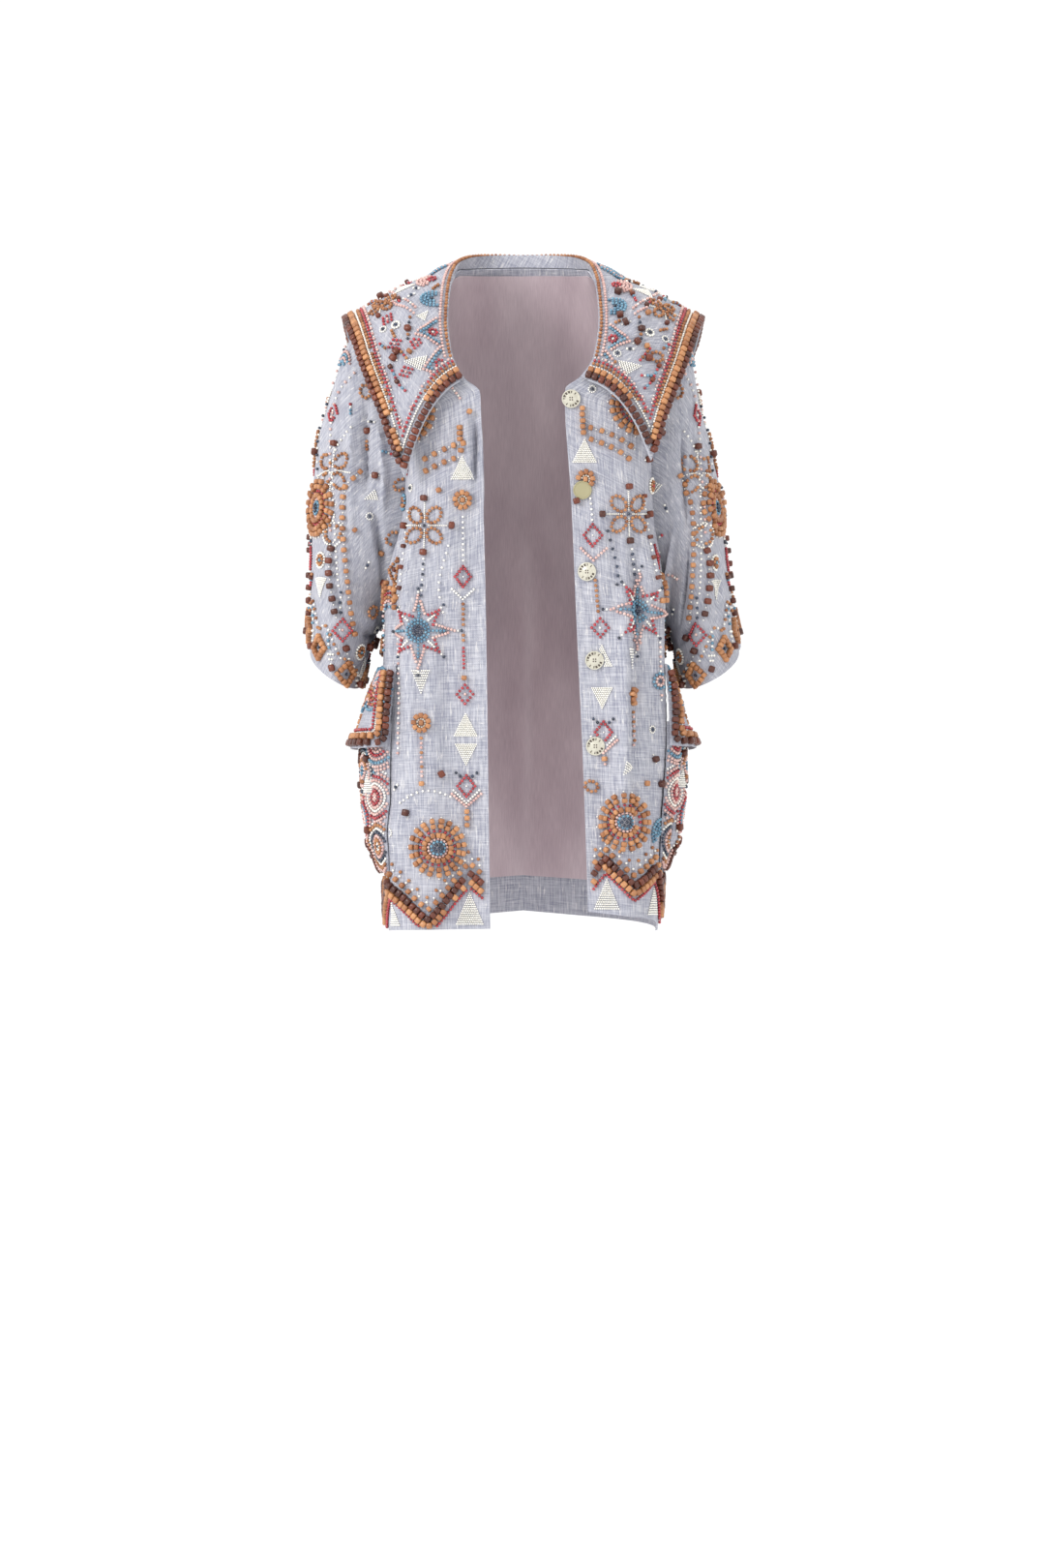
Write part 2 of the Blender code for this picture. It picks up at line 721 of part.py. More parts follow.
def button(name, cloth, u, v, finish):
    """A pressed disc with a raised rim and a dished middle, turned round its own axis."""
    middle, normal = cloth.place(u, v)
    bm = bmesh.new()
    verts = []
    for share, rise in BUTTON_PROFILE:
        verts.append(bm.verts.new((share * BUTTON_RADIUS, 0.0, rise * BUTTON_HEIGHT)))
    edges = [bm.edges.new(pair) for pair in zip(verts, verts[1:])]
    bmesh.ops.spin(
        bm,
        geom=verts + edges,
        cent=(0, 0, 0),
        axis=(0, 0, 1),
        angle=2 * math.pi,
        steps=BUTTON_SIDES,
        use_merge=True,
    )
    bmesh.ops.remove_doubles(bm, verts=bm.verts[:], dist=0.00001)
    ahead = np.cross(normal, np.array([0.0, 0.0, 1.0]))
    ahead = ahead / np.linalg.norm(ahead)
    upward = np.cross(ahead, normal)
    seat = middle + normal * BUTTON_SEAT
    for vert in bm.verts:
        x, y, z = vert.co
        vert.co = tuple(seat - ahead * x + upward * y + normal * z)
    finished(name, bm, finish, 30.0)


def armhole_rows(turn, counts):
    """The heights of a panel's rows from the underarm up, with one at the turn between the parts."""
    low = np.linspace(UNDERARM, turn, counts[0])
    high = np.linspace(turn, 1, counts[1])
    return np.concatenate([low, high[1:]])


def armhole_angle(v):
    """The sleeve's angle, from the overarm down the front, where the armhole has height v."""
    return math.pi * (1 - (v - UNDERARM) / (1 - UNDERARM))


def panel_rows(turn, counts):
    return np.concatenate([np.linspace(0, UNDERARM, SIDE_ROWS)[:-1], armhole_rows(turn, counts)])


def front_cloth(side):
    us = np.linspace(0, 1, FRONT_COLUMNS)
    vs = panel_rows(NECK_CORNER, FRONT_ARMHOLE_ROWS)
    points = np.array([front_row(side, v, us) for v in vs])
    points = pulled_in(points, rows=[(-1, -2)], columns=[(-1, -2)])
    return Cloth(us, vs, points, SIDES[side])


def back_cloth():
    us = np.linspace(-1, 1, BACK_COLUMNS)
    vs = panel_rows(YOKE_START, BACK_ARMHOLE_ROWS)
    points = np.array([back_row(v, us) for v in vs])
    points = pulled_in(points, rows=[(-1, -2)], columns=[(0, 1), (-1, -2)])
    return Cloth(us, vs, points, -1)


def lining_cloth(back):
    """The back again, inside the back, with its lowest row let down towards the hem."""
    lining = back.inside(WALL + LINING_GAP)
    hem = back.points[0, 1:-1] - back.normals[0, 1:-1] * (WALL + LINING_GAP)
    lining.points[0] += (hem - lining.points[0]) * (1 - LINING_HEM_SHARE)
    return lining


def sleeve_cloth(side):
    front_angles = armhole_angle(armhole_rows(NECK_CORNER, FRONT_ARMHOLE_ROWS))[::-1]
    back_angles = 2 * math.pi - armhole_angle(armhole_rows(YOKE_START, BACK_ARMHOLE_ROWS))
    angles = np.concatenate([front_angles, back_angles[1:]])
    points = np.array([[sleeve_point(side, s, angle) for angle in angles] for s in SLEEVE_RINGS])
    points = pulled_in(points, rows=[(0, 1)])
    return Cloth(angles / (2 * math.pi), SLEEVE_RINGS, points, SIDES[side], closed=True)


def collar_cloth():
    places = np.array([-p for p in reversed(COLLAR_PLACES)] + [0.0] + COLLAR_PLACES)
    shares = np.linspace(0, 1, COLLAR_ROWS)
    rows = [collar_row(r, places) for r in shares]
    points = np.array([stand_row(rows[0], places)] + rows)
    return Cloth(places, np.concatenate([[STAND_PLACE], shares]), points, 1)


def side_shares(front):
    """The front's outer columns as shares of the width of a pocket or flap."""
    shares = (front.us[SIDE_COLUMN:] - front.us[SIDE_COLUMN]) / (1 - front.us[SIDE_COLUMN])
    shares[-1] = SIDE_TRIM
    return shares / SIDE_TRIM


def pocket_cloth(side, front):
    """The pocket's own cloth, made from the front's points, moved out."""
    us = side_shares(front)
    vs = np.linspace(0, 1, POCKET_ROWS)
    points = []
    for q in vs:
        row = []
        for p in us:
            across = math.sin(math.pi * min(p, 1.0)) ** POCKET_SIDE_ROUNDNESS
            upward = math.sin(math.pi * q / POCKET_MOUTH) ** POCKET_TOP_ROUNDNESS
            place = (SIDE_START + SIDE_WIDTH * p, POCKET_FOOT + POCKET_HEIGHT * q)
            row.append(front.raised(*place, WALL + SEAT + POCKET_BULGE * across * upward))
        points.append(row)
    return Cloth(us, vs, np.array(points), SIDES[side])


def flap_cloth(side, front):
    """The flap, from its seam above the pocket mouth down to its free edge."""
    us = side_shares(front)
    vs = np.linspace(0, 1, FLAP_ROWS)
    points = []
    for q in vs:
        row = []
        for p in us:
            down = 1 - q
            out = FLAP_RISE * min(1.0, down * FLAP_SHOULDER)
            out += (FLAP_STAND + FLAP_FLARE * p**0.8) * down**1.1
            place = (SIDE_START + SIDE_WIDTH * p, FLAP_FOOT + FLAP_HEIGHT * q)
            row.append(front.raised(*place, WALL + FLAP_SEAT + out))
        points.append(row)
    return Cloth(us, vs, np.array(points), SIDES[side])


def hem_route(cloth, table, low, high):
    """The zigzag above the hem as (u, v) points."""
    at = np.linspace(low, high, HEM_ROUTE_POINTS)
    rises = table.read("rise", at)
    route = []
    for u, rise in zip(at, rises):
        foot, _ = cloth.place(u, 0.0)
        above, _ = cloth.place(u, 0.1)
        route.append((u, float(rise) * 0.1 / np.linalg.norm(above - foot)))
    return route


def flap_route():
    """Round the flap's free edges, with rounded corners."""
    inset, turn = FLAP_ROUTE_INSET, FLAP_ROUTE_CORNER
    front_top, side_top = FLAP_ROUTE_TOPS
    route = [(inset, q) for q in np.linspace(front_top, inset + turn, FLAP_SIDE_POINTS)]
    for k in range(1, FLAP_CORNER_STEPS + 1):
        bend = math.pi / 2 * k / FLAP_CORNER_STEPS
        route.append((inset + turn * (1 - math.cos(bend)), inset + turn * (1 - math.sin(bend))))
    for k in range(0, FLAP_CORNER_STEPS + 1):
        bend = math.pi / 2 * k / FLAP_CORNER_STEPS
        route.append((1 - inset - turn * (1 - math.sin(bend)), inset + turn * (1 - math.cos(bend))))
    route += [(1 - inset, q) for q in np.linspace(inset + turn, side_top, FLAP_SIDE_POINTS)[1:]]
    return route


def collar_edge_route(cloth):
    """Round the collar's outer edge, from wing point to wing point, a bead's width in."""
    route = []
    for place in np.linspace(-EDGE_REACH, EDGE_REACH, EDGE_ROUTE_POINTS):
        rim, _ = cloth.place(place, 1.0)
        within, _ = cloth.place(place, 0.9)
        route.append((place, 1 - EDGE_INSET * 0.1 / np.linalg.norm(rim - within)))
    return route


def collar_wing_route(cloth, sign):
    """Along the lower edge of one wing, up to the strip round the outer edge."""
    route = []
    for r in np.linspace(*WING_REACH, WING_ROUTE_POINTS):
        rim, _ = cloth.place(sign * 1.0, r)
        within, _ = cloth.place(sign * 0.93, r)
        route.append((sign * (1 - WING_INSET * 0.07 / np.linalg.norm(rim - within)), r))
    return route


def main():
    for old in list(bpy.data.objects):
        bpy.data.objects.remove(old, do_unlink=True)

    linen = finish_of("blue_linen", (0.42, 0.45, 0.58), 0.85)
    satin = finish_of("mauve_satin", (0.44, 0.34, 0.39), 0.35)
    brown = finish_of("brown_wood", (0.16, 0.05, 0.03), 0.40)
    amber = finish_of("amber_wood", (0.60, 0.27, 0.09), 0.45)
    pearl = finish_of("pearl_button", (0.80, 0.78, 0.62), 0.25)

    back = back_cloth()
    fronts = {side: front_cloth(side) for side in SIDES}
    sleeves = {side: sleeve_cloth(side) for side in SIDES}
    collar = collar_cloth()

    wall("back", back, WALL, linen)
    wall("back_lining", lining_cloth(back), LINING_WALL, satin)
    wall("collar", collar, COLLAR_WALL, linen)
    bead_strip("collar_edge_beads", collar, collar_edge_route(collar), TWO_ROWS, brown)
    bead_strip("hem_beads_back", back, hem_route(back, HEM_BACK, *BACK_HEM_REACH), ONE_ROW, brown)

    for side, sign in SIDES.items():
        front = fronts[side]
        wall("front_" + side, front, WALL, linen)
        wall("sleeve_" + side, sleeves[side], WALL, linen, closed=True)
        pocket = pocket_cloth(side, front)
        wall("pocket_" + side, pocket, WALL, linen)
        flap = flap_cloth(side, front)
        wall("pocket_flap_" + side, flap, WALL, linen)
        bead_strip("flap_beads_" + side, flap, flap_route(), ONE_ROW, brown)
        wing_route = collar_wing_route(collar, sign)
        bead_strip("collar_wing_beads_" + side, collar, wing_route, TWO_ROWS, brown)
        zigzag = hem_route(front, HEM_FRONTS[side], *FRONT_HEM_REACH)
        bead_strip("hem_beads_" + side, front, zigzag, ONE_ROW, brown)
        sunburst("front_sunburst_" + side, front, *FRONT_SUNBURSTS[side], amber)
        sunburst("sleeve_sunburst_" + side, sleeves[side], *SLEEVE_SUNBURST, amber)
    for number, u, v in BUTTONS.rows:
        button(f"button_{int(number)}", fronts["left"], u, v, pearl)


main()
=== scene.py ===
# %% [markdown]
# # A beaded linen coat
# This lesson dresses the plain solids of a coat as the real thing: slubby blue linen with soft
# folds, a mauve satin lining, pressed buttons, and some seventeen thousand wooden and glass beads.
# The solids are loaded first as a fixed frame. Every new piece is made in the same metres and at
# the same place, so nothing is fitted by eye. The coat faces -Y, and "left" is the wearer's left,
# at +X.

import math
from itertools import product

import bpy
import numpy as np
from mathutils import Matrix, Vector, kdtree


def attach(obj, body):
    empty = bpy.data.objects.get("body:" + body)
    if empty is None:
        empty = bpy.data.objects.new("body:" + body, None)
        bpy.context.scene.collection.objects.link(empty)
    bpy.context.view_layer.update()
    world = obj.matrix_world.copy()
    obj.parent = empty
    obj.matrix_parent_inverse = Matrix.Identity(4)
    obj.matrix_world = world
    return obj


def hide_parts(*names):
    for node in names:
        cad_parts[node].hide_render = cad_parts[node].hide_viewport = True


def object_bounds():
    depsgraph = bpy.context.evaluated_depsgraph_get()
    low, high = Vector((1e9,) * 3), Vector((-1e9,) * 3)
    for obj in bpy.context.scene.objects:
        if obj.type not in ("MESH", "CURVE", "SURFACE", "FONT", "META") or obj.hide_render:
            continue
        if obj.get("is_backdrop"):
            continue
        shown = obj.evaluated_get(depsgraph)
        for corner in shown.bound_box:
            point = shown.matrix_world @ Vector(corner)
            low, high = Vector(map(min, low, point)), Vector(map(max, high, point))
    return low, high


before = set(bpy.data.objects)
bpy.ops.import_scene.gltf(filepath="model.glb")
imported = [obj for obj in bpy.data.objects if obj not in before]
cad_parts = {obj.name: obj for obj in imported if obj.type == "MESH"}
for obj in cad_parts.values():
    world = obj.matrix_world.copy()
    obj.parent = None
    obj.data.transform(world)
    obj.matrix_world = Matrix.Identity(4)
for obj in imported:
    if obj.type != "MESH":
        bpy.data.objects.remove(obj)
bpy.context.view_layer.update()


def mode(name):
    bpy.ops.object.mode_set(mode=name)


def linked(name, data):
    """A new object in the scene."""
    obj = bpy.data.objects.new(name, data)
    bpy.context.scene.collection.objects.link(obj)
    return obj


# %% [markdown]
# ## Camera
# The photograph was taken level, from far off, with the lens at the height of the hips. One of its
# pixels covers 1.15 mm of the coat, so the lens follows from the distance and the picture's height.

# %% Set the camera
PICTURE = (1080, 1620)
PIXEL = 0.00115
DISTANCE = 12.0
EYE = (-0.001, -DISTANCE, -0.598)
SENSOR_SIZE = 36

camera = linked("camera", bpy.data.cameras.new("camera"))
bpy.context.scene.camera = camera
camera.location = EYE
camera.rotation_euler = (math.radians(90), 0, 0)
camera.data.lens = DISTANCE / PIXEL / PICTURE[1] * SENSOR_SIZE
camera.data.clip_end = 5 * DISTANCE
print("The lens is", round(camera.data.lens, 1), "mm")

# %% [markdown]
# ## Floor and light
# A photographer's white sweep is a floor that curves up into walls, so no line shows where they
# meet. This one is a large box without its lid, whose lower and upright edges are bevelled wide.
# Its white finish glows, as lit walls do. One strong light from the side shapes the folds, and two
# weak ones soften its shadows.

# %% Build the sweep
FLOOR_HEIGHT = -1.51
SWEEP_SIZE = 32
SWEEP_BEND = 4.6
SWEEP_GREY = (0.5, 0.5, 0.5, 1)
SWEEP_GLOW = 0.56
WHITE = (1, 1, 1, 1)


def deselected():
    """Leaves nothing selected, so that the next operator acts on the new piece alone."""
    for obj in bpy.context.selected_objects:
        obj.select_set(False)


def picked(obj, kind, wanted):
    """Enters edit mode with only the wanted faces or edges selected."""
    mode("EDIT")
    bpy.ops.mesh.select_mode(type=kind)
    bpy.ops.mesh.select_all(action="DESELECT")
    mode("OBJECT")
    for part in obj.data.polygons if kind == "FACE" else obj.data.edges:
        part.select = wanted(part)
    mode("EDIT")


deselected()
bpy.ops.mesh.primitive_cube_add(size=SWEEP_SIZE, location=(0, 0, FLOOR_HEIGHT + SWEEP_SIZE / 2))
sweep = bpy.context.object
sweep.name = "sweep"
picked(sweep, "FACE", lambda face: face.center.z > SWEEP_SIZE / 2 - 1)
bpy.ops.mesh.delete(type="FACE")
mode("OBJECT")
picked(sweep, "EDGE", lambda edge: any(sweep.data.vertices[k].co.z < 0 for k in edge.vertices))
bpy.ops.mesh.bevel(offset=SWEEP_BEND, segments=20)
bpy.ops.mesh.select_all(action="SELECT")
bpy.ops.mesh.normals_make_consistent(inside=True)
mode("OBJECT")
bpy.ops.object.shade_smooth()
bpy.ops.object.transform_apply(location=True, rotation=True, scale=True)
sweep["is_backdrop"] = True
white = bpy.data.materials.new("white_sweep")
white.use_nodes = True
for socket, value in [
    ("Base Color", SWEEP_GREY),
    ("Roughness", 1.0),
    ("Emission Color", WHITE),
    ("Emission Strength", SWEEP_GLOW),
]:
    white.node_tree.nodes["Principled BSDF"].inputs[socket].default_value = value
sweep.data.materials.append(white)
print("The sweep has", len(sweep.data.polygons), "faces")

# %% Place the lights
# A name, a place, a width in metres and a power in watts.
LIGHTS = [
    ("key", (-3.3, -2.9, 1.5), 1.7, 120),
    ("fill", (2.6, -3.2, 0.2), 2.4, 16),
    ("top", (0.2, 0.2, 2.6), 2.0, 26),
]
LIT_PLACE = Vector((0, 0, -0.4))
SKY_STRENGTH = 0.5
for name, place, size, power in LIGHTS:
    lamp = linked(name, bpy.data.lights.new(name, "AREA"))
    lamp.data.size = size
    lamp.data.energy = power
    lamp.location = place
    lamp.rotation_euler = (LIT_PLACE - lamp.location).to_track_quat("-Z", "Y").to_euler()

sky = bpy.data.worlds.new("sky")
bpy.context.scene.world = sky
sky.use_nodes = True
sky.node_tree.nodes["Background"].inputs["Color"].default_value = WHITE
sky.node_tree.nodes["Background"].inputs["Strength"].default_value = SKY_STRENGTH
bpy.context.scene.view_settings.view_transform = "Standard"
print("Lights:", [name for name, *_ in LIGHTS])

# %% [markdown]
# ## Finishes
# Each finish is a small tree of nodes. Two helpers keep them readable. `Value` wraps a socket, so
# that `1 - mask * 0.5` adds its own Math nodes. `Finish` starts a material and adds any other
# node from its type, its settings and its inputs.


# %% A way to write shader maths
class Value:
    """A number that changes over the surface."""

    def __init__(self, finish, socket):
        self.finish = finish
        self.socket = socket

    def maths(self, operation, first, second):
        return self.finish.node("Math", {"operation": operation}, {0: first, 1: second})

    def __add__(self, other):
        return self.maths("ADD", self, other)

    __radd__ = __add__

    def __mul__(self, other):
        return self.maths("MULTIPLY", self, other)

    __rmul__ = __mul__

    def __sub__(self, other):
        return self.maths("SUBTRACT", self, other)

    def __rsub__(self, other):
        return self.maths("SUBTRACT", other, self)


class Finish:
    """A material under construction."""

    def __init__(self, name, **even):
        self.material = bpy.data.materials.new(name)
        self.material.use_nodes = True
        self.tree = self.material.node_tree
        self.shader = self.tree.nodes["Principled BSDF"]
        for socket, value in even.items():
            self.shader.inputs[socket.replace("_", " ")].default_value = value

    def node(self, kind, settings, inputs, output=0):
        made = self.tree.nodes.new("ShaderNode" + kind)
        for name, value in settings.items():
            setattr(made, name, value)
        for key, value in inputs.items():
            self.feed(made.inputs[key], value)
        return Value(self, made.outputs[output])

    def feed(self, socket, value):
        if isinstance(value, Value):
            self.tree.links.new(value.socket, socket)
        else:
            socket.default_value = value

    def mixed(self, share, low, high):
        """The colour low where share is 0 and high where it is 1."""
        return self.node("Mix", {"data_type": "RGBA"}, {0: share, 6: low, 7: high}, 2)

    def between(self, value, low, high):
        """0 where the value is under low, 1 where it is over high."""
        return self.node("MapRange", {}, {0: value, 1: low, 2: high})

    def noise(self, place, scale, detail=2.0, roughness=0.5):
        """Soft noise; scale is a number, or a number for each direction."""
        if isinstance(scale, tuple):
            place = self.node("Mapping", {}, {"Vector": place, "Scale": scale})
            scale = 1.0
        inputs = {"Vector": place, "Scale": scale, "Detail": detail, "Roughness": roughness}
        return self.node("TexNoise", {}, inputs)

    def bump(self, height, strength, distance):
        inputs = {"Height": height, "Strength": strength, "Distance": distance}
        self.feed(self.shader.inputs["Normal"], self.node("Bump", {}, inputs))

    def colour(self, value):
        self.feed(self.shader.inputs["Base Color"], value)

    def roughness(self, value):
        self.feed(self.shader.inputs["Roughness"], value)


def colour_of(red, green, blue):
    """A screen colour, 0 to 255, as the linear colour that a shader takes."""
    shares = [value / 255 for value in (red, green, blue)]
    return tuple(s / 12.92 if s < 0.04 else ((s + 0.055) / 1.055) ** 2.4 for s in shares) + (1.0,)


# %% [markdown]
# ### Linen
# The cloth is a loose plain weave of blue-grey yarn with paler, thicker places, called slubs. The
# pattern follows each panel's own flat map in metres, so the threads run along the cut. Noise that
# is stretched along one direction gives streaks of yarn, its brightest places give the slubs, and
# the product of two fine waves gives the over and under of the weave for the bump.

# %% Weave the linen
LINEN_DARK = colour_of(130, 132, 149)
LINEN_MIDDLE = colour_of(166, 168, 180)
LINEN_LIGHT = colour_of(205, 205, 211)
SLUB = colour_of(234, 231, 228)
SLUB_SHARE = 0.6
MIDDLE_SHARE = 0.22
THREAD = 0.001
# How often each noise changes in a metre, across the panel and up it.
WARP_YARN = (580, 30, 1)
WEFT_YARN = (34, 620, 1)
WARP_SLUBS = (480, 56, 1)
WEFT_SLUBS = (90, 540, 1)
BROAD = 26.0


def linen_colour(finish, turn):
    """The linen's colour and its height, with the warp turned from the panel's own direction."""
    place = finish.node("UVMap", {"uv_map": "cloth"}, {})
    place = finish.node("Mapping", {}, {"Vector": place, "Rotation": (0, 0, turn)})
    warp = finish.noise(place, WARP_YARN, 3.0, 0.6)
    weft = finish.noise(place, WEFT_YARN, 3.0, 0.6)
    broad = finish.noise(place, BROAD, 2.0)
    warp_slub = finish.between(finish.noise(place, WARP_SLUBS, 2.0), 0.6, 0.7)
    weft_slub = finish.between(finish.noise(place, WEFT_SLUBS, 2.0), 0.64, 0.76)
    depth = finish.between(warp * 0.56 + weft * 0.44 + broad * 0.12, 0.46, 0.68)
    colour = finish.mixed(depth, LINEN_DARK, LINEN_LIGHT)
    colour = finish.mixed(MIDDLE_SHARE, colour, LINEN_MIDDLE)
    colour = finish.mixed((warp_slub + weft_slub) * SLUB_SHARE, colour, SLUB)
    parts = finish.node("SeparateXYZ", {}, {0: place})
    up = Value(finish, parts.socket.node.outputs[1])
    over = finish.node("Math", {"operation": "SINE"}, {0: parts * (math.pi / THREAD)})
    under = finish.node("Math", {"operation": "SINE"}, {0: up * (math.pi / THREAD)})
    height = over * under * 0.5 + warp + weft * 0.7 + (warp_slub + weft_slub) * 0.8
    return colour, height


def linen(name, turn=0.0):
    finish = Finish(name, Roughness=0.88, Sheen_Weight=0.12)
    colour, height = linen_colour(finish, turn)
    finish.colour(colour)
    finish.bump(height, 0.55, 0.0006)
    return finish.material


straight_linen = linen("straight_linen")
SLANT = math.radians(28)
slanted_linen = linen("slanted_linen", SLANT)
print("Linen with threads every", THREAD * 1000, "mm")

# %% [markdown]
# ### Satin and the inside of the cloth
# The coat is lined with mauve satin, whose colour carries broad lighter and darker waves: a painted
# sheen. Its fronts and hems are faced with the linen, which turns in before the satin starts. Each
# panel carries an attribute, `facing`, that is 1 where the linen turns in, and the inside's finish
# mixes the two by it.

# %% Mix the satin
# SATIN_DARK and SATIN_LIGHT are the two ends of a painted sheen, with a little yarn streaking between
# them.
SATIN_DARK = colour_of(180, 161, 168)
SATIN_LIGHT = colour_of(214, 197, 201)
PAINTED_SHEEN_WAVES = (14, 5, 1)
SATIN_YARN = (900, 60, 1)


def satin_colour(finish):
    place = finish.node("UVMap", {"uv_map": "cloth"}, {})
    # Broad waves of painted sheen, with fine yarn streaks, mix the dark and the light satin.
    painted_sheen = finish.noise(place, PAINTED_SHEEN_WAVES, 3.0)
    yarn = finish.noise(place, SATIN_YARN, 2.0)
    share = finish.between(painted_sheen * 0.7 + yarn * 0.3, 0.36, 0.66)
    return finish.mixed(share, SATIN_DARK, SATIN_LIGHT), yarn


def inside_finish(name):
    """Satin, with linen where the cloth is turned in."""
    finish = Finish(name)
    satin, yarn = satin_colour(finish)
    cloth, height = linen_colour(finish, 0.0)
    facing = finish.node("Attribute", {"attribute_name": "facing"}, {}, 2)
    finish.colour(finish.mixed(facing, satin, cloth))
    finish.roughness(facing * 0.5 + 0.38)
    finish.bump(height * facing + yarn * 0.3, 0.4, 0.0005)
    return finish.material


inside = inside_finish("satin_and_facing")
lining_finish = Finish("mauve_satin", Roughness=0.36, Sheen_Weight=0.1)
# The lining's colour carries the painted sheen.
painted_sheen, yarn = satin_colour(lining_finish)
lining_finish.colour(painted_sheen)
lining_finish.bump(yarn, 0.25, 0.0003)
print("Satin ready")

# %% [markdown]
# ### Wood, glass and pressed buttons
# The large beads are turned or sawn wood, stained dark brown or left tan, and no two are the same.
# Each bead carries a number, `tone`, that shifts its colour, and fine noise gives the grain. The
# small beads are glass, opaque and shiny. The buttons are pressed from pearly cream plastic.


# %% Stain the wood and colour the glass
FIBRE = (2400, 700, 900)
GRAINY = 0.5


def bead_finish(name, dark, light, grain, roughness, coat):
    finish = Finish(name, Coat_Weight=coat, Coat_Roughness=0.12)
    place = finish.node("TexCoord", {}, {}, 3)
    tone = finish.node("Attribute", {"attribute_name": "tone"}, {}, 2)
    fibre = finish.noise(place, FIBRE, 3.0)
    share = finish.between(tone + (fibre - 0.5) * grain, 0.0, 1.0)
    finish.colour(finish.mixed(share, colour_of(*dark), colour_of(*light)))
    finish.roughness(fibre * 0.2 + (roughness - 0.1))
    if grain > GRAINY:
        finish.bump(fibre, 0.35, 0.0004)
    return finish.material


# For each: its dark and its light colour, then grain, roughness and coat.
BEAD_FINISHES = {
    "brown_wood": bead_finish("dark_stained_wood", (50, 18, 8), (124, 56, 30), 0.9, 0.44, 0.2),
    "amber_wood": bead_finish("tan_wood", (132, 76, 42), (206, 148, 100), 0.8, 0.5, 0.15),
    "red_glass": bead_finish("red_glass", (132, 26, 38), (196, 62, 70), 0.2, 0.24, 0.5),
    "pink_glass": bead_finish("pink_glass", (196, 148, 142), (232, 200, 190), 0.2, 0.26, 0.5),
    "teal_glass": bead_finish("teal_glass", (58, 104, 134), (124, 170, 192), 0.2, 0.24, 0.5),
    "navy_glass": bead_finish("navy_glass", (18, 26, 42), (42, 60, 88), 0.2, 0.2, 0.6),
    "cream_glass": bead_finish("cream_glass", (238, 234, 220), (255, 253, 246), 0.2, 0.3, 0.3),
}

pearl = Finish("pressed_pearl", Roughness=0.28, Coat_Weight=0.4, Coat_Roughness=0.1)
place = pearl.node("TexCoord", {}, {}, 3)
cloud = pearl.noise(place, 260.0, 3.0)
pearl.colour(pearl.mixed(cloud, colour_of(180, 176, 158), colour_of(214, 210, 196)))
pearl.bump(cloud, 0.1, 0.0004)
print("Bead finishes:", sorted(BEAD_FINISHES))

# %% [markdown]
# ## The cut of the coat
# Short tables say where the main lines of the coat run: the front edge, the side seam, the
# shoulder, both ends of the sleeves and both edges of the collar. They are the same as in the
# solids, but for the collar's front tips, which hang lower, as in the photograph. A smooth curve
# through each column fills the space between.

# %% Read a table smoothly
SIDES = {"left": 1, "right": -1}


def eased(knots, values, at):
    """Smooth values through the knots, which never swing past them."""
    knots = np.asarray(knots, float)
    values = np.asarray(values, float)
    step = np.diff(knots)
    slope = np.diff(values) / step
    tangent = np.concatenate([slope[:1], np.zeros(len(slope) - 1), slope[-1:]])
    both = slope[:-1] * slope[1:]
    total = slope[:-1] + slope[1:]
    same_way = both > 0
    tangent[1:-1][same_way] = 2 * both[same_way] / total[same_way]
    at = np.clip(np.asarray(at, float), knots[0], knots[-1])
    i = np.clip(np.searchsorted(knots, at, side="right") - 1, 0, len(step) - 1)
    t = (at - knots[i]) / step[i]
    low = values[i] * (1 + 2 * t) * (1 - t) ** 2 + tangent[i] * step[i] * t * (1 - t) ** 2
    high = values[i + 1] * t**2 * (3 - 2 * t) + tangent[i + 1] * step[i] * t**2 * (t - 1)
    return low + high


class Table:
    """Rows of named columns. The first column is the place that a row is for."""

    def __init__(self, columns, rows):
        self.columns = columns.split()
        self.rows = np.array(rows, float)

    def read(self, names, at):
        """One column, or several as the last axis."""
        found = []
        for name in names.split():
            found.append(eased(self.rows[:, 0], self.rows[:, self.columns.index(name)], at))
        return found[0] if len(found) == 1 else np.stack(found, axis=-1)


# %% Tables of the body
SIDE_SEAM = Table("v x z", [
    (0.00, 0.159, -0.772),
    (0.10, 0.163, -0.690),
    (0.20, 0.166, -0.610),
    (0.32, 0.167, -0.512),
    (0.45, 0.165, -0.410),
])
FRONT_EDGE = Table("v x_left x_right y z_left z_right", [
    (0.000, 0.076, 0.039, -0.140, -0.748, -0.768),
    (0.200, 0.071, 0.041, -0.139, -0.598, -0.606),
    (0.450, 0.062, 0.044, -0.138, -0.400, -0.400),
    (0.620, 0.056, 0.047, -0.138, -0.262, -0.262),
    (0.740, 0.049, 0.050, -0.135, -0.152, -0.156),
    (0.765, 0.049, 0.051, -0.133, -0.134, -0.137),
    (0.790, 0.067, 0.069, -0.130, -0.119, -0.121),
    (0.830, 0.083, 0.084, -0.115, -0.092, -0.092),
    (0.890, 0.089, 0.089, -0.080, -0.046, -0.046),
    (0.950, 0.086, 0.086, -0.037, -0.008, -0.008),
    (1.000, 0.078, 0.078, -0.002, 0.012, 0.012),
])
BACK_MIDDLE = Table("v y z", [
    (0.00, 0.150, -0.750),
    (0.20, 0.143, -0.600),
    (0.45, 0.124, -0.400),
    (0.65, 0.123, -0.235),
    (0.80, 0.117, -0.120),
    (0.92, 0.090, -0.030),
    (1.00, 0.066, 0.018),
])
BODY_CORNERS = Table(
    "v front back",
    [(0.00, 5.6, 3.0), (0.45, 5.0, 3.0), (0.7, 3.6, 2.8), (0.85, 2.4, 2.4), (1.00, 2.0, 2.0)],
)
# Where a fold lies, its width, both as shares of a front, and its height.
FRONT_FOLDS = {
    "left": [(0.2, 0.11, 0.008), (0.38, 0.09, -0.006)],
    "right": [(0.3, 0.12, 0.005), (0.1, 0.08, -0.003)],
}
print("Body tables:", len(FRONT_EDGE.rows), "rows of front edge")

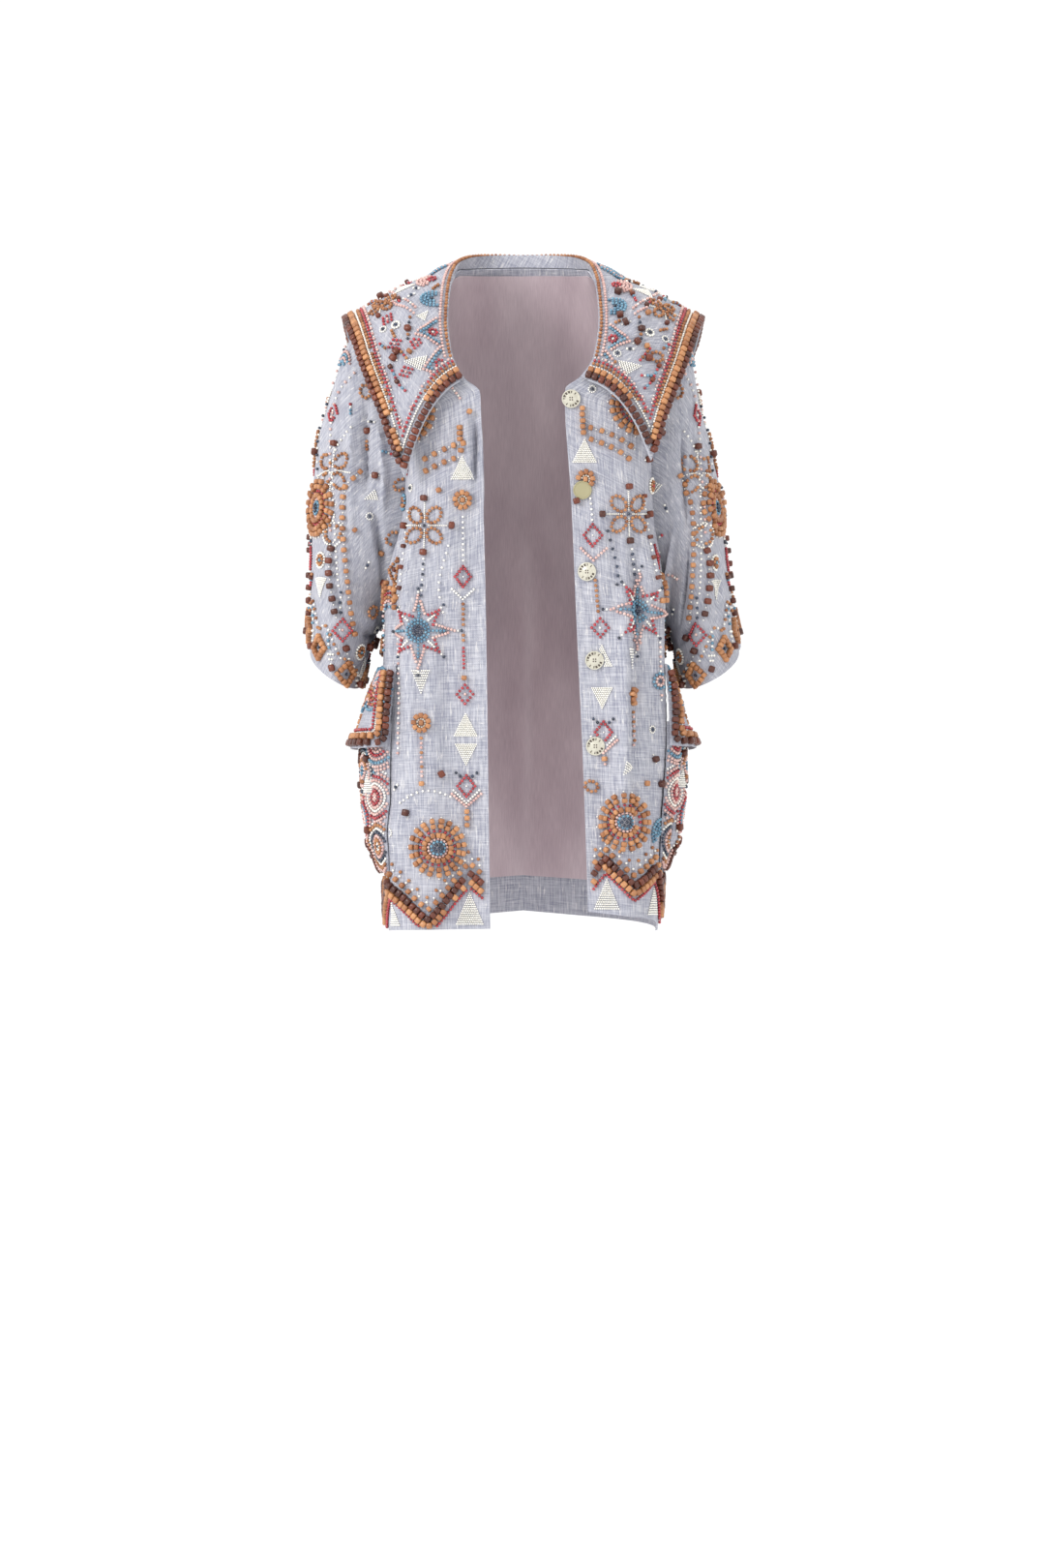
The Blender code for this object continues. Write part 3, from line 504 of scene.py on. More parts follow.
# %% Tables of the sleeves and the collar
OVERARM = Table("s x_left x_right z", [
    (0.00, 0.188, 0.188, -0.046),
    (0.07, 0.195, 0.204, -0.066),
    (0.16, 0.202, 0.219, -0.105),
    (0.30, 0.214, 0.238, -0.175),
    (0.46, 0.230, 0.247, -0.250),
    (0.64, 0.240, 0.251, -0.325),
    (0.82, 0.247, 0.252, -0.390),
    (1.00, 0.256, 0.253, -0.440),
])
UNDERSIDE = Table("s x_left x_right z", [
    (0.00, 0.165, 0.165, -0.410),
    (0.15, 0.174, 0.175, -0.421),
    (0.40, 0.179, 0.182, -0.440),
    (0.70, 0.183, 0.188, -0.462),
    (1.00, 0.186, 0.192, -0.476),
])
SLEEVE_SHAPE = Table("s front back bow_left bow_right flare tilt", [
    (0.00, 0.080, 0.088, 0.028, 0.040, 0.0, 0.0),
    (0.15, 0.084, 0.092, 0.016, 0.024, 0.0, 0.0),
    (0.40, 0.086, 0.093, 0.004, 0.006, 0.2, 0.2),
    (0.70, 0.081, 0.087, 0.000, 0.000, 0.7, 0.7),
    (1.00, 0.076, 0.080, 0.000, 0.000, 1.0, 1.0),
])
COLLAR = Table("a nx ny nz ex ey ez kx ky kz", [
    (0.00, 0.070, -0.1400, -0.121, 0.146, -0.150, -0.228, 0.012, -0.004, 0.038),
    (0.12, 0.083, -0.1250, -0.094, 0.164, -0.130, -0.172, 0.008, -0.012, 0.032),
    (0.25, 0.089, -0.0930, -0.052, 0.188, -0.098, -0.112, 0.006, -0.016, 0.030),
    (0.36, 0.086, -0.0500, -0.010, 0.206, -0.052, -0.064, 0.002, -0.012, 0.024),
    (0.46, 0.075, -0.0040, 0.021, 0.213, 0.004, -0.049, 0.000, 0.000, 0.014),
    (0.58, 0.058, 0.0360, 0.030, 0.206, 0.072, -0.078, 0.000, 0.014, 0.026),
    (0.72, 0.036, 0.0600, 0.033, 0.172, 0.122, -0.135, 0.004, 0.018, 0.034),
    (0.84, 0.018, 0.0690, 0.034, 0.105, 0.141, -0.160, 0.000, 0.020, 0.034),
    (1.00, 0.000, 0.0710, 0.034, 0.000, 0.146, -0.165, 0.000, 0.022, 0.034),
])
print("Sleeve and collar tables:", len(COLLAR.rows), "rows of collar")

# %% [markdown]
# ## From tables to cloth
# A row of a front or of the back runs from its middle out and round to the side seam or armhole as
# a rounded corner. A sleeve is a bent tube whose first ring is the armhole itself, so the seam
# closes. The collar is a strip that rolls from the neck seam over the shoulders.

# %% Lines of the body and the sleeves
UNDERARM = 0.45
YOKE_START = 0.78
SHOULDER_TIP = np.array([0.188, 0.002, -0.046])
NECK_POINT = np.array([0.078, -0.002, 0.012])
BACK_NECK = np.array([0.0, 0.066, 0.018])
NECK_SHARE = 0.46
UNDERARM_DEPTH = 0.004
SLEEVE_MIDDLE = 0.003
SLEEVE_LEAN = 0.001
SLEEVE_ROUNDNESS = 0.8
BOW_ROUNDNESS = 2.5
FLARE_WIDTH = 0.012
CUFF_TILT = 0.25
CORNER_STEPS = 181


def sleeve_ring(side, s, angles):
    """Points round a sleeve at share s of its length; angles run from the overarm forwards."""
    lean = np.cos(angles)
    swell = np.sin(angles)
    full = np.abs(swell) ** SLEEVE_ROUNDNESS
    front, back, bow, flare, tilt = SLEEVE_SHAPE.read("front back bow_" + side + " flare tilt", s)
    top_x, top_z = OVERARM.read("x_" + side + " z", s)
    low_x, low_z = UNDERSIDE.read("x_" + side + " z", s)
    out = -np.sign(swell) * np.where(swell > 0, front, back) * full
    x = (top_x + low_x) / 2 + (top_x - low_x) / 2 * lean - bow * np.abs(swell) ** BOW_ROUNDNESS
    x = x + np.where(swell > 0, 0.0, FLARE_WIDTH * flare * full)
    z = (top_z + low_z) / 2 + (top_z - low_z) / 2 * lean + CUFF_TILT * tilt * out
    return np.stack([SIDES[side] * x, SLEEVE_MIDDLE - SLEEVE_LEAN * lean + out, z], axis=-1)


def armhole_angle(v):
    return math.pi * (1 - (v - UNDERARM) / (1 - UNDERARM))


def outer_edge(side, v, back):
    """The side seam up to the underarm, then the armhole up to the shoulder tip."""
    if v <= UNDERARM:
        x, z = SIDE_SEAM.read("x z", v)
        return np.array([SIDES[side] * x, UNDERARM_DEPTH, z])
    angle = armhole_angle(v)
    return sleeve_ring(side, 0.0, np.array([2 * math.pi - angle if back else angle]))[0]


def section(middle, outer, corner, shares):
    """A rounded-corner line from the middle of a panel out and round to its side."""
    angle = np.linspace(0, math.pi / 2, CORNER_STEPS)
    x = middle[0] + (outer[0] - middle[0]) * np.sin(angle) ** (2 / corner)
    y = outer[1] + (middle[1] - outer[1]) * np.cos(angle) ** (2 / corner)
    run = np.concatenate([[0], np.cumsum(np.hypot(np.diff(x), np.diff(y)))])
    run = run / run[-1]
    z = middle[2] + (outer[2] - middle[2]) * shares
    return np.stack([np.interp(shares, run, x), np.interp(shares, run, y), z], axis=-1)


# %% Rows of the fronts and the back
# The fronts' folds end at this height and at the side seam, each over a length of its own.
FRONT_FOLD_TOP = 0.62
FRONT_FOLD_FADE = (0.3, 0.45)
# The back's flutes: their top, their fade, their height and how many a half has.
FLUTE_TOP = 0.55
FLUTE_FADE = 0.5
FLUTE_HEIGHT = 0.006
FLUTES = 2.25


def front_row(side, v, us):
    x, y, z = FRONT_EDGE.read("x_" + side + " y z_" + side, v)
    middle = np.array([SIDES[side] * x, y, z])
    row = section(middle, outer_edge(side, v, False), float(BODY_CORNERS.read("front", v)), us)
    fades = ((FRONT_FOLD_TOP - v) / FRONT_FOLD_FADE[0], (1 - us) / FRONT_FOLD_FADE[1])
    low = np.clip(fades[0], 0, 1) * np.clip(fades[1], 0, 1)
    for place, width, height in FRONT_FOLDS[side]:
        row[:, 1] -= low * height * np.exp(-(((us - place) / width) ** 2))
    return row


def shoulder_line(us):
    """The top of the back: round the neck, then straight along both shoulder seams."""
    size = np.abs(us)
    turn = math.pi / 2 * np.clip(size / NECK_SHARE, 0, 1)
    round_neck = NECK_POINT + (BACK_NECK - NECK_POINT) * np.cos(turn)[:, None]
    round_neck[:, 0] = NECK_POINT[0] * np.sin(turn)
    out = np.clip((size - NECK_SHARE) / (1 - NECK_SHARE), 0, 1)[:, None]
    line = np.where(out > 0, NECK_POINT * (1 - out) + SHOULDER_TIP * out, round_neck)
    line[:, 0] *= np.sign(us)
    return line


def back_row(v, us):
    y, z = BACK_MIDDLE.read("y z", v)
    middle = np.array([0.0, y, z])
    corner = float(BODY_CORNERS.read("back", v))
    halves = [section(middle, outer_edge(side, v, True), corner, np.abs(us)) for side in SIDES]
    row = np.where((us > 0)[:, None], halves[0], halves[1])
    low = np.clip((FLUTE_TOP - v) / FLUTE_FADE, 0, 1)
    row[:, 1] += FLUTE_HEIGHT * low * np.cos(math.tau * FLUTES * us)
    rise = (v - YOKE_START) / (1 - YOKE_START)
    if rise > 0:
        flat = section(BACK_NECK, SHOULDER_TIP, 2.0, np.abs(us))
        flat[:, 0] *= np.sign(us)
        slow = 1 - math.cos(math.pi / 2 * rise)
        row += (shoulder_line(us) - flat) * np.array([slow, slow, math.sin(math.pi / 2 * rise)])
    return row


# %% Rows of the collar
COLLAR_SEAM = Table(
    "a v", [(0.00, 0.79), (0.12, 0.83), (0.25, 0.875), (0.36, 0.93), (0.46, 1.000)]
)
STAND_GAP = 0.0009
STAND_PLACE = -0.15
# How far the left wing is moved out and down, and the right tip in and down, each towards its tip.
WING_SHARE = 0.3
WING_MOVE = (0.005, 0.011)
TIP_SHARE = 0.12
TIP_MOVE = (0.006, 0.01)


def neck_seam(place):
    """The point of the neck seam that a place along the collar is sewn to."""
    a = 1 - abs(place)
    if a >= NECK_SHARE:
        turn = (1 - a) / (1 - NECK_SHARE)
        return shoulder_line(np.array([math.copysign(NECK_SHARE * turn, place)]))[0]
    side = "left" if place > 0 else "right"
    x, y, z = FRONT_EDGE.read("x_" + side + " y z_" + side, COLLAR_SEAM.read("v", a))
    return np.array([SIDES[side] * x, y, z])


def collar_row(r, us):
    """A line of the collar at share r of its width, from the right front corner to the left."""
    a = 1 - np.abs(us)
    neck = COLLAR.read("nx ny nz", a)
    edge = COLLAR.read("ex ey ez", a)
    wing = np.clip(1 - a / WING_SHARE, 0, 1) * (us > 0)
    edge[:, 0] += WING_MOVE[0] * wing
    edge[:, 2] += WING_MOVE[1] * wing
    tip = np.clip(1 - a / TIP_SHARE, 0, 1) ** 2 * (us < 0)
    edge[:, 0] -= TIP_MOVE[0] * tip
    edge[:, 2] -= TIP_MOVE[1] * tip
    share = max(r, 0.0)
    control = (neck + edge) / 2 + COLLAR.read("kx ky kz", a)
    row = neck * (1 - share) ** 2 + control * 2 * share * (1 - share) + edge * share**2
    row[:, 0] *= np.where(us < 0, -1, 1)
    if r < 0:
        seam = np.array([neck_seam(u) for u in us])
        away = row - seam
        gap = STAND_GAP / np.linalg.norm(away, axis=-1, keepdims=True)
        row = seam + away * (1 - (1 - gap) * r / STAND_PLACE)
    return row


# %% [markdown]
# ## A panel of cloth
# `Panel` holds a fine grid of points, the way out of the cloth at each, and a flat map in metres:
# how far across the panel and how high up it a point lies. Beads and folds are placed on that map.


# %% The Panel helper
WALK_STEPS = 4
FACING_AWAY = 1000
NEAREST_SHARE = 0.6


def unit(ways):
    """Directions of length 1."""
    return ways / np.linalg.norm(ways, axis=-1, keepdims=True)


def run_along(points):
    """How far along a line each of its points lies."""
    return np.concatenate([[0], np.cumsum(np.linalg.norm(np.diff(points, axis=0), axis=-1))])


class Panel:
    """Cloth as rows of points: us run across it, vs up it."""

    def __init__(self, name, us, vs, points, turn, closed=False, column=0):
        self.name = name
        self.us = np.asarray(us, float)
        self.vs = np.asarray(vs, float)
        self.turn = turn
        self.closed = closed
        self.points = points
        steps = np.linalg.norm(np.diff(points, axis=1), axis=-1)
        across = np.concatenate([np.zeros((len(vs), 1)), np.cumsum(steps, axis=1)], axis=1)
        self.across = across - across[:, column : column + 1]
        self.up = run_along(points[:, column])
        self.heights = np.broadcast_to(self.up[:, None], self.across.shape)
        self.measure()

    def measure(self):
        """Works out the directions across, up and out of the cloth from its points."""
        points = self.points
        if self.closed:
            ring = np.concatenate([points[:, -2:-1], points, points[:, 1:2]], axis=1)
            span = np.concatenate([[self.us[-2] - 1], self.us, [self.us[1] + 1]])
            self.along = np.gradient(ring, span, axis=1)[:, 1:-1]
        else:
            self.along = np.gradient(points, self.us, axis=1)
        self.rising = np.gradient(points, self.vs, axis=0)
        self.normals = unit(self.turn * np.cross(self.along, self.rising))

    def at(self, u, v, *fields):
        """The points, or other fields of the grid, at arrays of (u, v)."""
        i = np.interp(self.wrapped(u), self.us, np.arange(len(self.us)))
        j = np.interp(v, self.vs, np.arange(len(self.vs)))
        i0 = np.minimum(i.astype(int), len(self.us) - 2)
        j0 = np.minimum(j.astype(int), len(self.vs) - 2)
        fi = (i - i0)[:, None]
        fj = (j - j0)[:, None]
        found = []
        for field in fields or (self.points,):
            low = field[j0, i0] * (1 - fi) + field[j0, i0 + 1] * fi
            high = field[j0 + 1, i0] * (1 - fi) + field[j0 + 1, i0 + 1] * fi
            found.append(low * (1 - fj) + high * fj)
        return found if fields else found[0]

    def place(self, a, b):
        """The (u, v) that lies a metres across and b metres up on the flat map."""
        j = float(np.interp(b, self.up, np.arange(len(self.up))))
        j0 = min(int(j), len(self.up) - 2)
        row = self.across[j0] * (1 - (j - j0)) + self.across[j0 + 1] * (j - j0)
        return float(np.interp(a, row, self.us)), float(np.interp(b, self.up, self.vs))

    def frame_at(self, u, v):
        """Points, ways out, across and up, and how far a step of u or v goes, at (u, v)."""
        fields = (self.points, self.normals, self.along, self.rising)
        point, out, along, rising = self.at(u, v, *fields)
        length = np.linalg.norm(along, axis=-1, keepdims=True)
        across = along / length
        slant = (rising * across).sum(-1, keepdims=True)
        up = rising - across * slant
        height = np.linalg.norm(up, axis=-1, keepdims=True)
        return point, out, across, up / height, length[:, 0], slant[:, 0], height[:, 0]

    def shifted(self, u, v, x, y):
        """Where (u, v) comes to after moving x metres across and y metres up the cloth."""
        x = np.asarray(x, float)
        y = np.asarray(y, float)
        u = np.full(len(x), float(u))
        v = np.full(len(x), float(v))
        for _ in range(WALK_STEPS):
            *_, length, slant, height = self.frame_at(u, v)
            step = y / WALK_STEPS / height
            u = u + (x / WALK_STEPS - step * slant) / length
            v = v + step
        return self.wrapped(u), v

    def wrapped(self, u):
        return np.mod(u, 1.0) if self.closed else u

    def from_border(self, side):
        """How far each point is from one border, in metres."""
        if side == "low":
            return self.heights
        if side == "high":
            return self.up[-1] - self.heights
        if side == "left":
            return self.across - self.across[:, :1]
        return self.across[:, -1:] - self.across

    def seen_at(self, x, y):
        """The (u, v) that shows under a pixel of the photograph."""
        depth = self.points[..., 1] - EYE[1]
        right = PICTURE[0] / 2 + (self.points[..., 0] - EYE[0]) / depth * DISTANCE / PIXEL
        down = PICTURE[1] / 2 - (self.points[..., 2] - EYE[2]) / depth * DISTANCE / PIXEL
        off = np.hypot(right - x, down - y) + FACING_AWAY * (self.normals[..., 1] > 0)
        j, i = np.unravel_index(off.argmin(), off.shape)
        slopes = [[np.gradient(f, axis=k)[j, i] for k in (1, 0)] for f in (right, down)]
        step = np.linalg.lstsq(slopes, [x - right[j, i], y - down[j, i]], rcond=None)[0]
        step = np.clip(step, -NEAREST_SHARE, NEAREST_SHARE)
        u = float(np.interp(i + step[0], np.arange(len(self.us)), self.us))
        return u, float(np.interp(j + step[1], np.arange(len(self.vs)), self.vs))


# %% Cut the panels
front_panels = {}
sleeve_panels = {}
for side, sign in SIDES.items():
    us, vs = np.linspace(0, 1, 73), np.linspace(0, 1, 161)
    points = np.array([front_row(side, v, us) for v in vs])
    front_panels[side] = Panel("front_" + side, us, vs, points, sign)
    us, vs = np.linspace(0, 1, 113), np.linspace(0, 1, 81)
    points = np.array([sleeve_ring(side, 1 - v, us * math.tau) for v in vs])
    sleeve_panels[side] = Panel("sleeve_" + side, us, vs, points, -sign, closed=True)

us, vs = np.linspace(-1, 1, 121), np.linspace(0, 1, 141)
points = np.array([back_row(v, us) for v in vs])
back_panel = Panel("back", us, vs, points, -1, column=60)
us = np.linspace(-1, 1, 161)
vs = np.concatenate([np.linspace(STAND_PLACE, 0, 4)[:-1], np.linspace(0, 1, 37)])
points = np.array([collar_row(v, us) for v in vs])
collar_panel = Panel("collar", us, vs, points, 1, column=80)
body_panels = [*front_panels.values(), *sleeve_panels.values(), back_panel, collar_panel]
left = front_panels["left"]
print("The left front is", round(float(left.across[0, -1]), 3), "m wide at the hem")
print("and", round(float(left.up[-1]), 3), "m long")

# %% [markdown]
# ## Folds
# Worn cloth is never smooth. The longest folds are listed one by one as soft troughs and ridges:
# each has two ends on the panel's flat map, a sideways bow, a width and a height. The height fades at
# both ends and wavers along the way, so no fold looks drawn with a ruler. Along a seam the cloth is
# drawn in a little, and at a hem the turned-in layer lifts it.


# %% Push the folds into the cloth
FOLD_DEPTH = 1.5
FOLD_FADE = 0.35
FOLD_WAVER = 0.0012
UNEVENNESS = 0.22
VALLEY_WIDTH = 0.004
VALLEY_DEPTH = 0.0009
TURN_STEP = 0.0012


def faded(share, length):
    """0 at both ends, 1 from the share length on."""
    edge = np.clip(np.minimum(share, 1 - share) / length, 0, 1)
    return edge * edge * (3 - 2 * edge)


def metres(*lengths):
    """Lengths that a table holds in millimetres."""
    return [length / 1000 for length in lengths]


def folded(panel, folds):
    """The lift of a panel's folds: two ends, a sideways bow, a width and a height, in millimetres."""
    lift = np.zeros(panel.across.shape)
    t = np.linspace(0, 1, 41)
    for number, fold in enumerate(folds):
        a0, b0, a1, b1, bow, width, height = metres(*fold)
        length = math.hypot(a1 - a0, b1 - b0)
        sway = bow * np.sin(math.pi * t) + FOLD_WAVER * np.sin(9.0 * t + number)
        a = a0 + (a1 - a0) * t + (b1 - b0) / length * sway
        b = b0 + (b1 - b0) * t - (a1 - a0) / length * sway
        apart = panel.across[..., None] - a
        if panel.closed:
            girth = panel.across[:, -1][:, None, None]
            apart = apart - girth * np.round(apart / girth)
        off = np.hypot(apart, panel.heights[..., None] - b)
        nearest = off.argmin(axis=-1)
        off = off.min(axis=-1)
        share = t[nearest]
        wide = width * (0.8 + 0.4 * share + 0.12 * np.sin(13 * share + 2 * number))
        uneven = 1 + UNEVENNESS * np.sin(11 * share + 1.7 * number)
        lift += height * uneven * faded(share, FOLD_FADE) * np.exp(-((off / wide) ** 2))
    return lift * FOLD_DEPTH


def bordered(panel, low, high, left, right):
    """Fades a lift away along the named sewn borders; each is a width in metres or 0."""
    share = np.ones(panel.across.shape)
    for side, width in [("low", low), ("high", high), ("left", left), ("right", right)]:
        if width:
            share = share * np.clip(panel.from_border(side) / width, 0, 1)
    return share


def valley(panel, side):
    """A narrow dip along one border, where a seam draws the cloth in."""
    return -VALLEY_DEPTH * np.exp(-((panel.from_border(side) / VALLEY_WIDTH) ** 2))


def turned_in(panel, side, width, rise=0.0004):
    """The step of a turned-in edge: the cloth lies a little higher over its second layer."""
    return rise / (1 + np.exp((panel.from_border(side) - width) / TURN_STEP))


def lifted(panel, lift):
    panel.points = panel.points + panel.normals * lift[..., None]
    panel.measure()


# %% [markdown]
# ### Folds of this coat
# The fronts hang from the collar in two or three long soft ridges. The sleeves are wide, so their
# cloth drops in a deep fold from the armhole to the underarm, and breaks again above the cuff. The
# back, which hangs free, has long shallow flutes.

# %% List the folds
# Two ends on the flat map, then bow, width and height, all in millimetres.
FRONT_CREASES = {
    "right": [
        (58, 20, 66, 300, 4, 16, 2.6),
        (30, 340, 52, 600, 4, 14, 2.4),
        (155, 400, 120, 620, 10, 15, 4.5),
        (110, 0, 125, 160, 4, 14, 4),
    ],
    "left": [
        (112, 100, 104, 550, 6, 15, 5),
        (30, 300, 44, 580, -4, 14, 2.4),
        (160, 380, 122, 620, 10, 15, 4.5),
        (18, 20, 22, 200, 3, 12, -2),
        (140, 0, 132, 150, 4, 13, -3.5),
    ],
}
BACK_CREASES = [
    (-150, 0, -120, 520, 10, 20, 5),
    (-75, 0, -60, 460, -8, 22, -4.5),
    (6, 20, -4, 560, 6, 20, 4),
    (82, 0, 64, 440, 10, 21, -4.5),
    (158, 0, 126, 500, -10, 20, 4.8),
    (-185, 300, -120, 440, 8, 14, 4),
    (190, 280, 124, 430, -8, 14, 4.2),
]
SLEEVE_CREASES = {
    "right": [
        (-60, 50, -90, 300, 12, 15, -5.5),
        (-110, 40, -120, 260, 10, 16, 5),
        (-30, 70, -120, 110, 10, 12, -4.5),
        (15, 120, 20, 300, 6, 18, 3),
    ],
    "left": [
        (-64, 50, -88, 300, 12, 15, -5.5),
        (-112, 40, -118, 270, 10, 16, 5),
        (-34, 80, -118, 100, 10, 12, -4.5),
        (10, 140, 18, 300, 6, 18, 3),
    ],
}
COLLAR_CREASES = [
    (-330, 50, -300, 120, 4, 20, 3),
    (335, 50, 300, 120, 4, 20, 3),
    (-160, 30, -200, 170, 6, 22, -3),
    (170, 30, 210, 170, 6, 22, -3),
    (40, 40, 20, 180, 6, 26, 2.8),
]
# Folds that the photograph shows: two ends as pixels, then bow, width and height as above.
SEEN_FOLDS = {
    "sleeve_right": [
        (379, 405, 379, 520, 2, 8, -7),
        (379, 515, 399, 605, 4, 9, -7.5),
        (366, 410, 364, 560, 2, 11, 4.2),
        (391, 425, 396, 540, 2, 9, 4.8),
        (372, 657, 395, 653, 0, 5, -5.2),
        (362, 643, 392, 636, 3, 9, 4),
        (345, 560, 352, 640, 4, 12, -3.4),
    ],
    "sleeve_left": [
        (713, 560, 701, 650, 4, 8, -7),
        (698, 540, 690, 640, 3, 9, 5.2),
        (704, 430, 712, 560, 2, 10, -5.8),
        (722, 440, 730, 590, 3, 12, 4.2),
        (700, 662, 722, 650, 2, 7, -4),
        (742, 560, 738, 650, 4, 12, -3),
    ],
    "front_right": [
        (497, 425, 500, 560, 1, 4, 4.6),
        (488, 412, 492, 520, 1, 3.5, -7.2),
        (478, 410, 482, 500, 1, 7, 3.6),
        (426, 500, 427, 880, 3, 10, 5.2),
        (410, 500, 409, 820, 3, 9, -5.6),
        (462, 560, 458, 900, 4, 14, -2.4),
    ],
    "front_left": [
        (644, 520, 645, 910, 2, 8, 5.2),
        (656, 500, 655, 900, 2, 8, -5.6),
        (622, 600, 626, 900, 4, 13, -2.2),
    ],
}
print("Folds of the back and the collar:", len(BACK_CREASES), "and", len(COLLAR_CREASES))

# %% Place the folds
HEM_TURN = 0.034
CUFF_TURN = 0.026
EDGE_TURN = 0.006
EDGE_RISE = 0.0003
FACING = 0.072


def seen_folds(panel):
    """The panel's seen folds, with their ends on its flat map."""
    found = []
    for *ends, bow, width, height in SEEN_FOLDS[panel.name]:
        places = []
        for pixel in (ends[:2], ends[2:]):
            u, v = panel.seen_at(*pixel)
            row = int(np.argmin(np.abs(panel.vs - v)))
            places += [1000 * np.interp(u, panel.us, panel.across[row]), 1000 * panel.up[row]]
        found.append((*places, bow, width, height))
    return found


for side, panel in front_panels.items():
    lift = folded(panel, FRONT_CREASES[side] + seen_folds(panel))
    lift *= bordered(panel, 0, 0.02, 0, 0.012)
    lift += valley(panel, "right") + valley(panel, "high")
    lift += turned_in(panel, "low", HEM_TURN) + turned_in(panel, "left", EDGE_TURN, EDGE_RISE)
    lifted(panel, lift)
for side, panel in sleeve_panels.items():
    lift = folded(panel, SLEEVE_CREASES[side] + seen_folds(panel)) * bordered(panel, 0, 0.03, 0, 0)
    lifted(panel, lift + valley(panel, "high") + turned_in(panel, "low", CUFF_TURN))
lift = folded(back_panel, BACK_CREASES) * bordered(back_panel, 0, 0.03, 0.012, 0.012)
lift += valley(back_panel, "left") + valley(back_panel, "right") + valley(back_panel, "high")
lifted(back_panel, lift + turned_in(back_panel, "low", HEM_TURN))
lift = folded(collar_panel, COLLAR_CREASES) * bordered(collar_panel, 0.02, 0.02, 0.02, 0.02)
lifted(collar_panel, lift)
print("Folds seen in the photograph:", sum(map(len, SEEN_FOLDS.values())))

# %% [markdown]
# ### Pockets and flaps
# The pockets are patches sewn over the outer part of each front, full enough to bulge. A flap
# hangs over each, and its free corner stands out. Both are made from the front's own points, moved
# out, so they follow it.

# %% Raise the pockets and the flaps
SIDE_START = 0.5
SIDE_WIDTH = 0.485
POCKET_FOOT = 0.085
POCKET_HEIGHT = 0.215
POCKET_BULGE = 0.023
FLAP_FOOT = 0.265
FLAP_HEIGHT = 0.12
WALL = 0.0016
POCKET_SEAT = 0.00095
FLAP_SEAT = 0.0007
FLAP_ROOT = 0.002
FLAP_SWING = 0.033
WRINKLES = [
    (20, 20, 30, 140, 4, 8, -2.2),
    (70, 20, 62, 150, 4, 8, -2),
    (10, 50, 90, 30, 4, 7, 1.6),
]


def raised_panel(name, side, columns, rows, foot, height, rise):
    """A patch on a front; rise gives how far it stands out at each (p, q) of the patch."""
    front = front_panels[side]
    ps, qs = np.linspace(0, 1, columns), np.linspace(0, 1, rows)
    p, q = (field.ravel() for field in np.meshgrid(ps, qs))
    u = SIDE_START + SIDE_WIDTH * p
    point, out = front.at(u, foot + height * q, front.points, front.normals)
    points = (point + out * rise(p, q)[:, None]).reshape(rows, columns, 3)
    return Panel(name, ps, qs, points, SIDES[side])


def pocket_rise(p, q):
    """Full in the middle, sewn down at the sides and the foot, open at the mouth."""
    across = np.sin(math.pi * p) ** 0.7
    upward = np.sin(math.pi * q / 1.25) ** 0.6
    return WALL + POCKET_SEAT + POCKET_BULGE * across * upward


def flap_rise(p, q):
    """Sewn down along the top; the lower it is, the further it stands out."""
    down = 1 - q
    flare = np.sin(2.2 * p**0.5)
    out = FLAP_ROOT * np.minimum(1.0, down * 3) + (0.001 + FLAP_SWING * flare) * down**1.1
    return WALL + FLAP_SEAT + out


pocket_panels = {}
flap_panels = {}
for side in SIDES:
    pocket = raised_panel("pocket_" + side, side, 33, 49, POCKET_FOOT, POCKET_HEIGHT, pocket_rise)
    lifted(pocket, folded(pocket, WRINKLES) * bordered(pocket, 0.01, 0.01, 0.01, 0.01))
    pocket_panels[side] = pocket
    flap = raised_panel("pocket_flap_" + side, side, 33, 29, FLAP_FOOT, FLAP_HEIGHT, flap_rise)
    flap_panels[side] = flap
print("A pocket is", round(float(pocket_panels["left"].up[-1]), 3), "m deep")

# %% [markdown]
# ## Sewing the shells
# Each panel becomes a mesh: a grid primitive of the right number of squares, whose points are
# moved to the panel's. Its flat map becomes a UV map in metres, for the weave. A Solidify
# modifier, applied, gives the cloth its thickness towards the inside, with a second finish there.

# %% Turn a panel into cloth
COLLAR_WALL = 0.0022
SEAM_REACH = 0.00002
SOFT_ANGLE = math.radians(50)


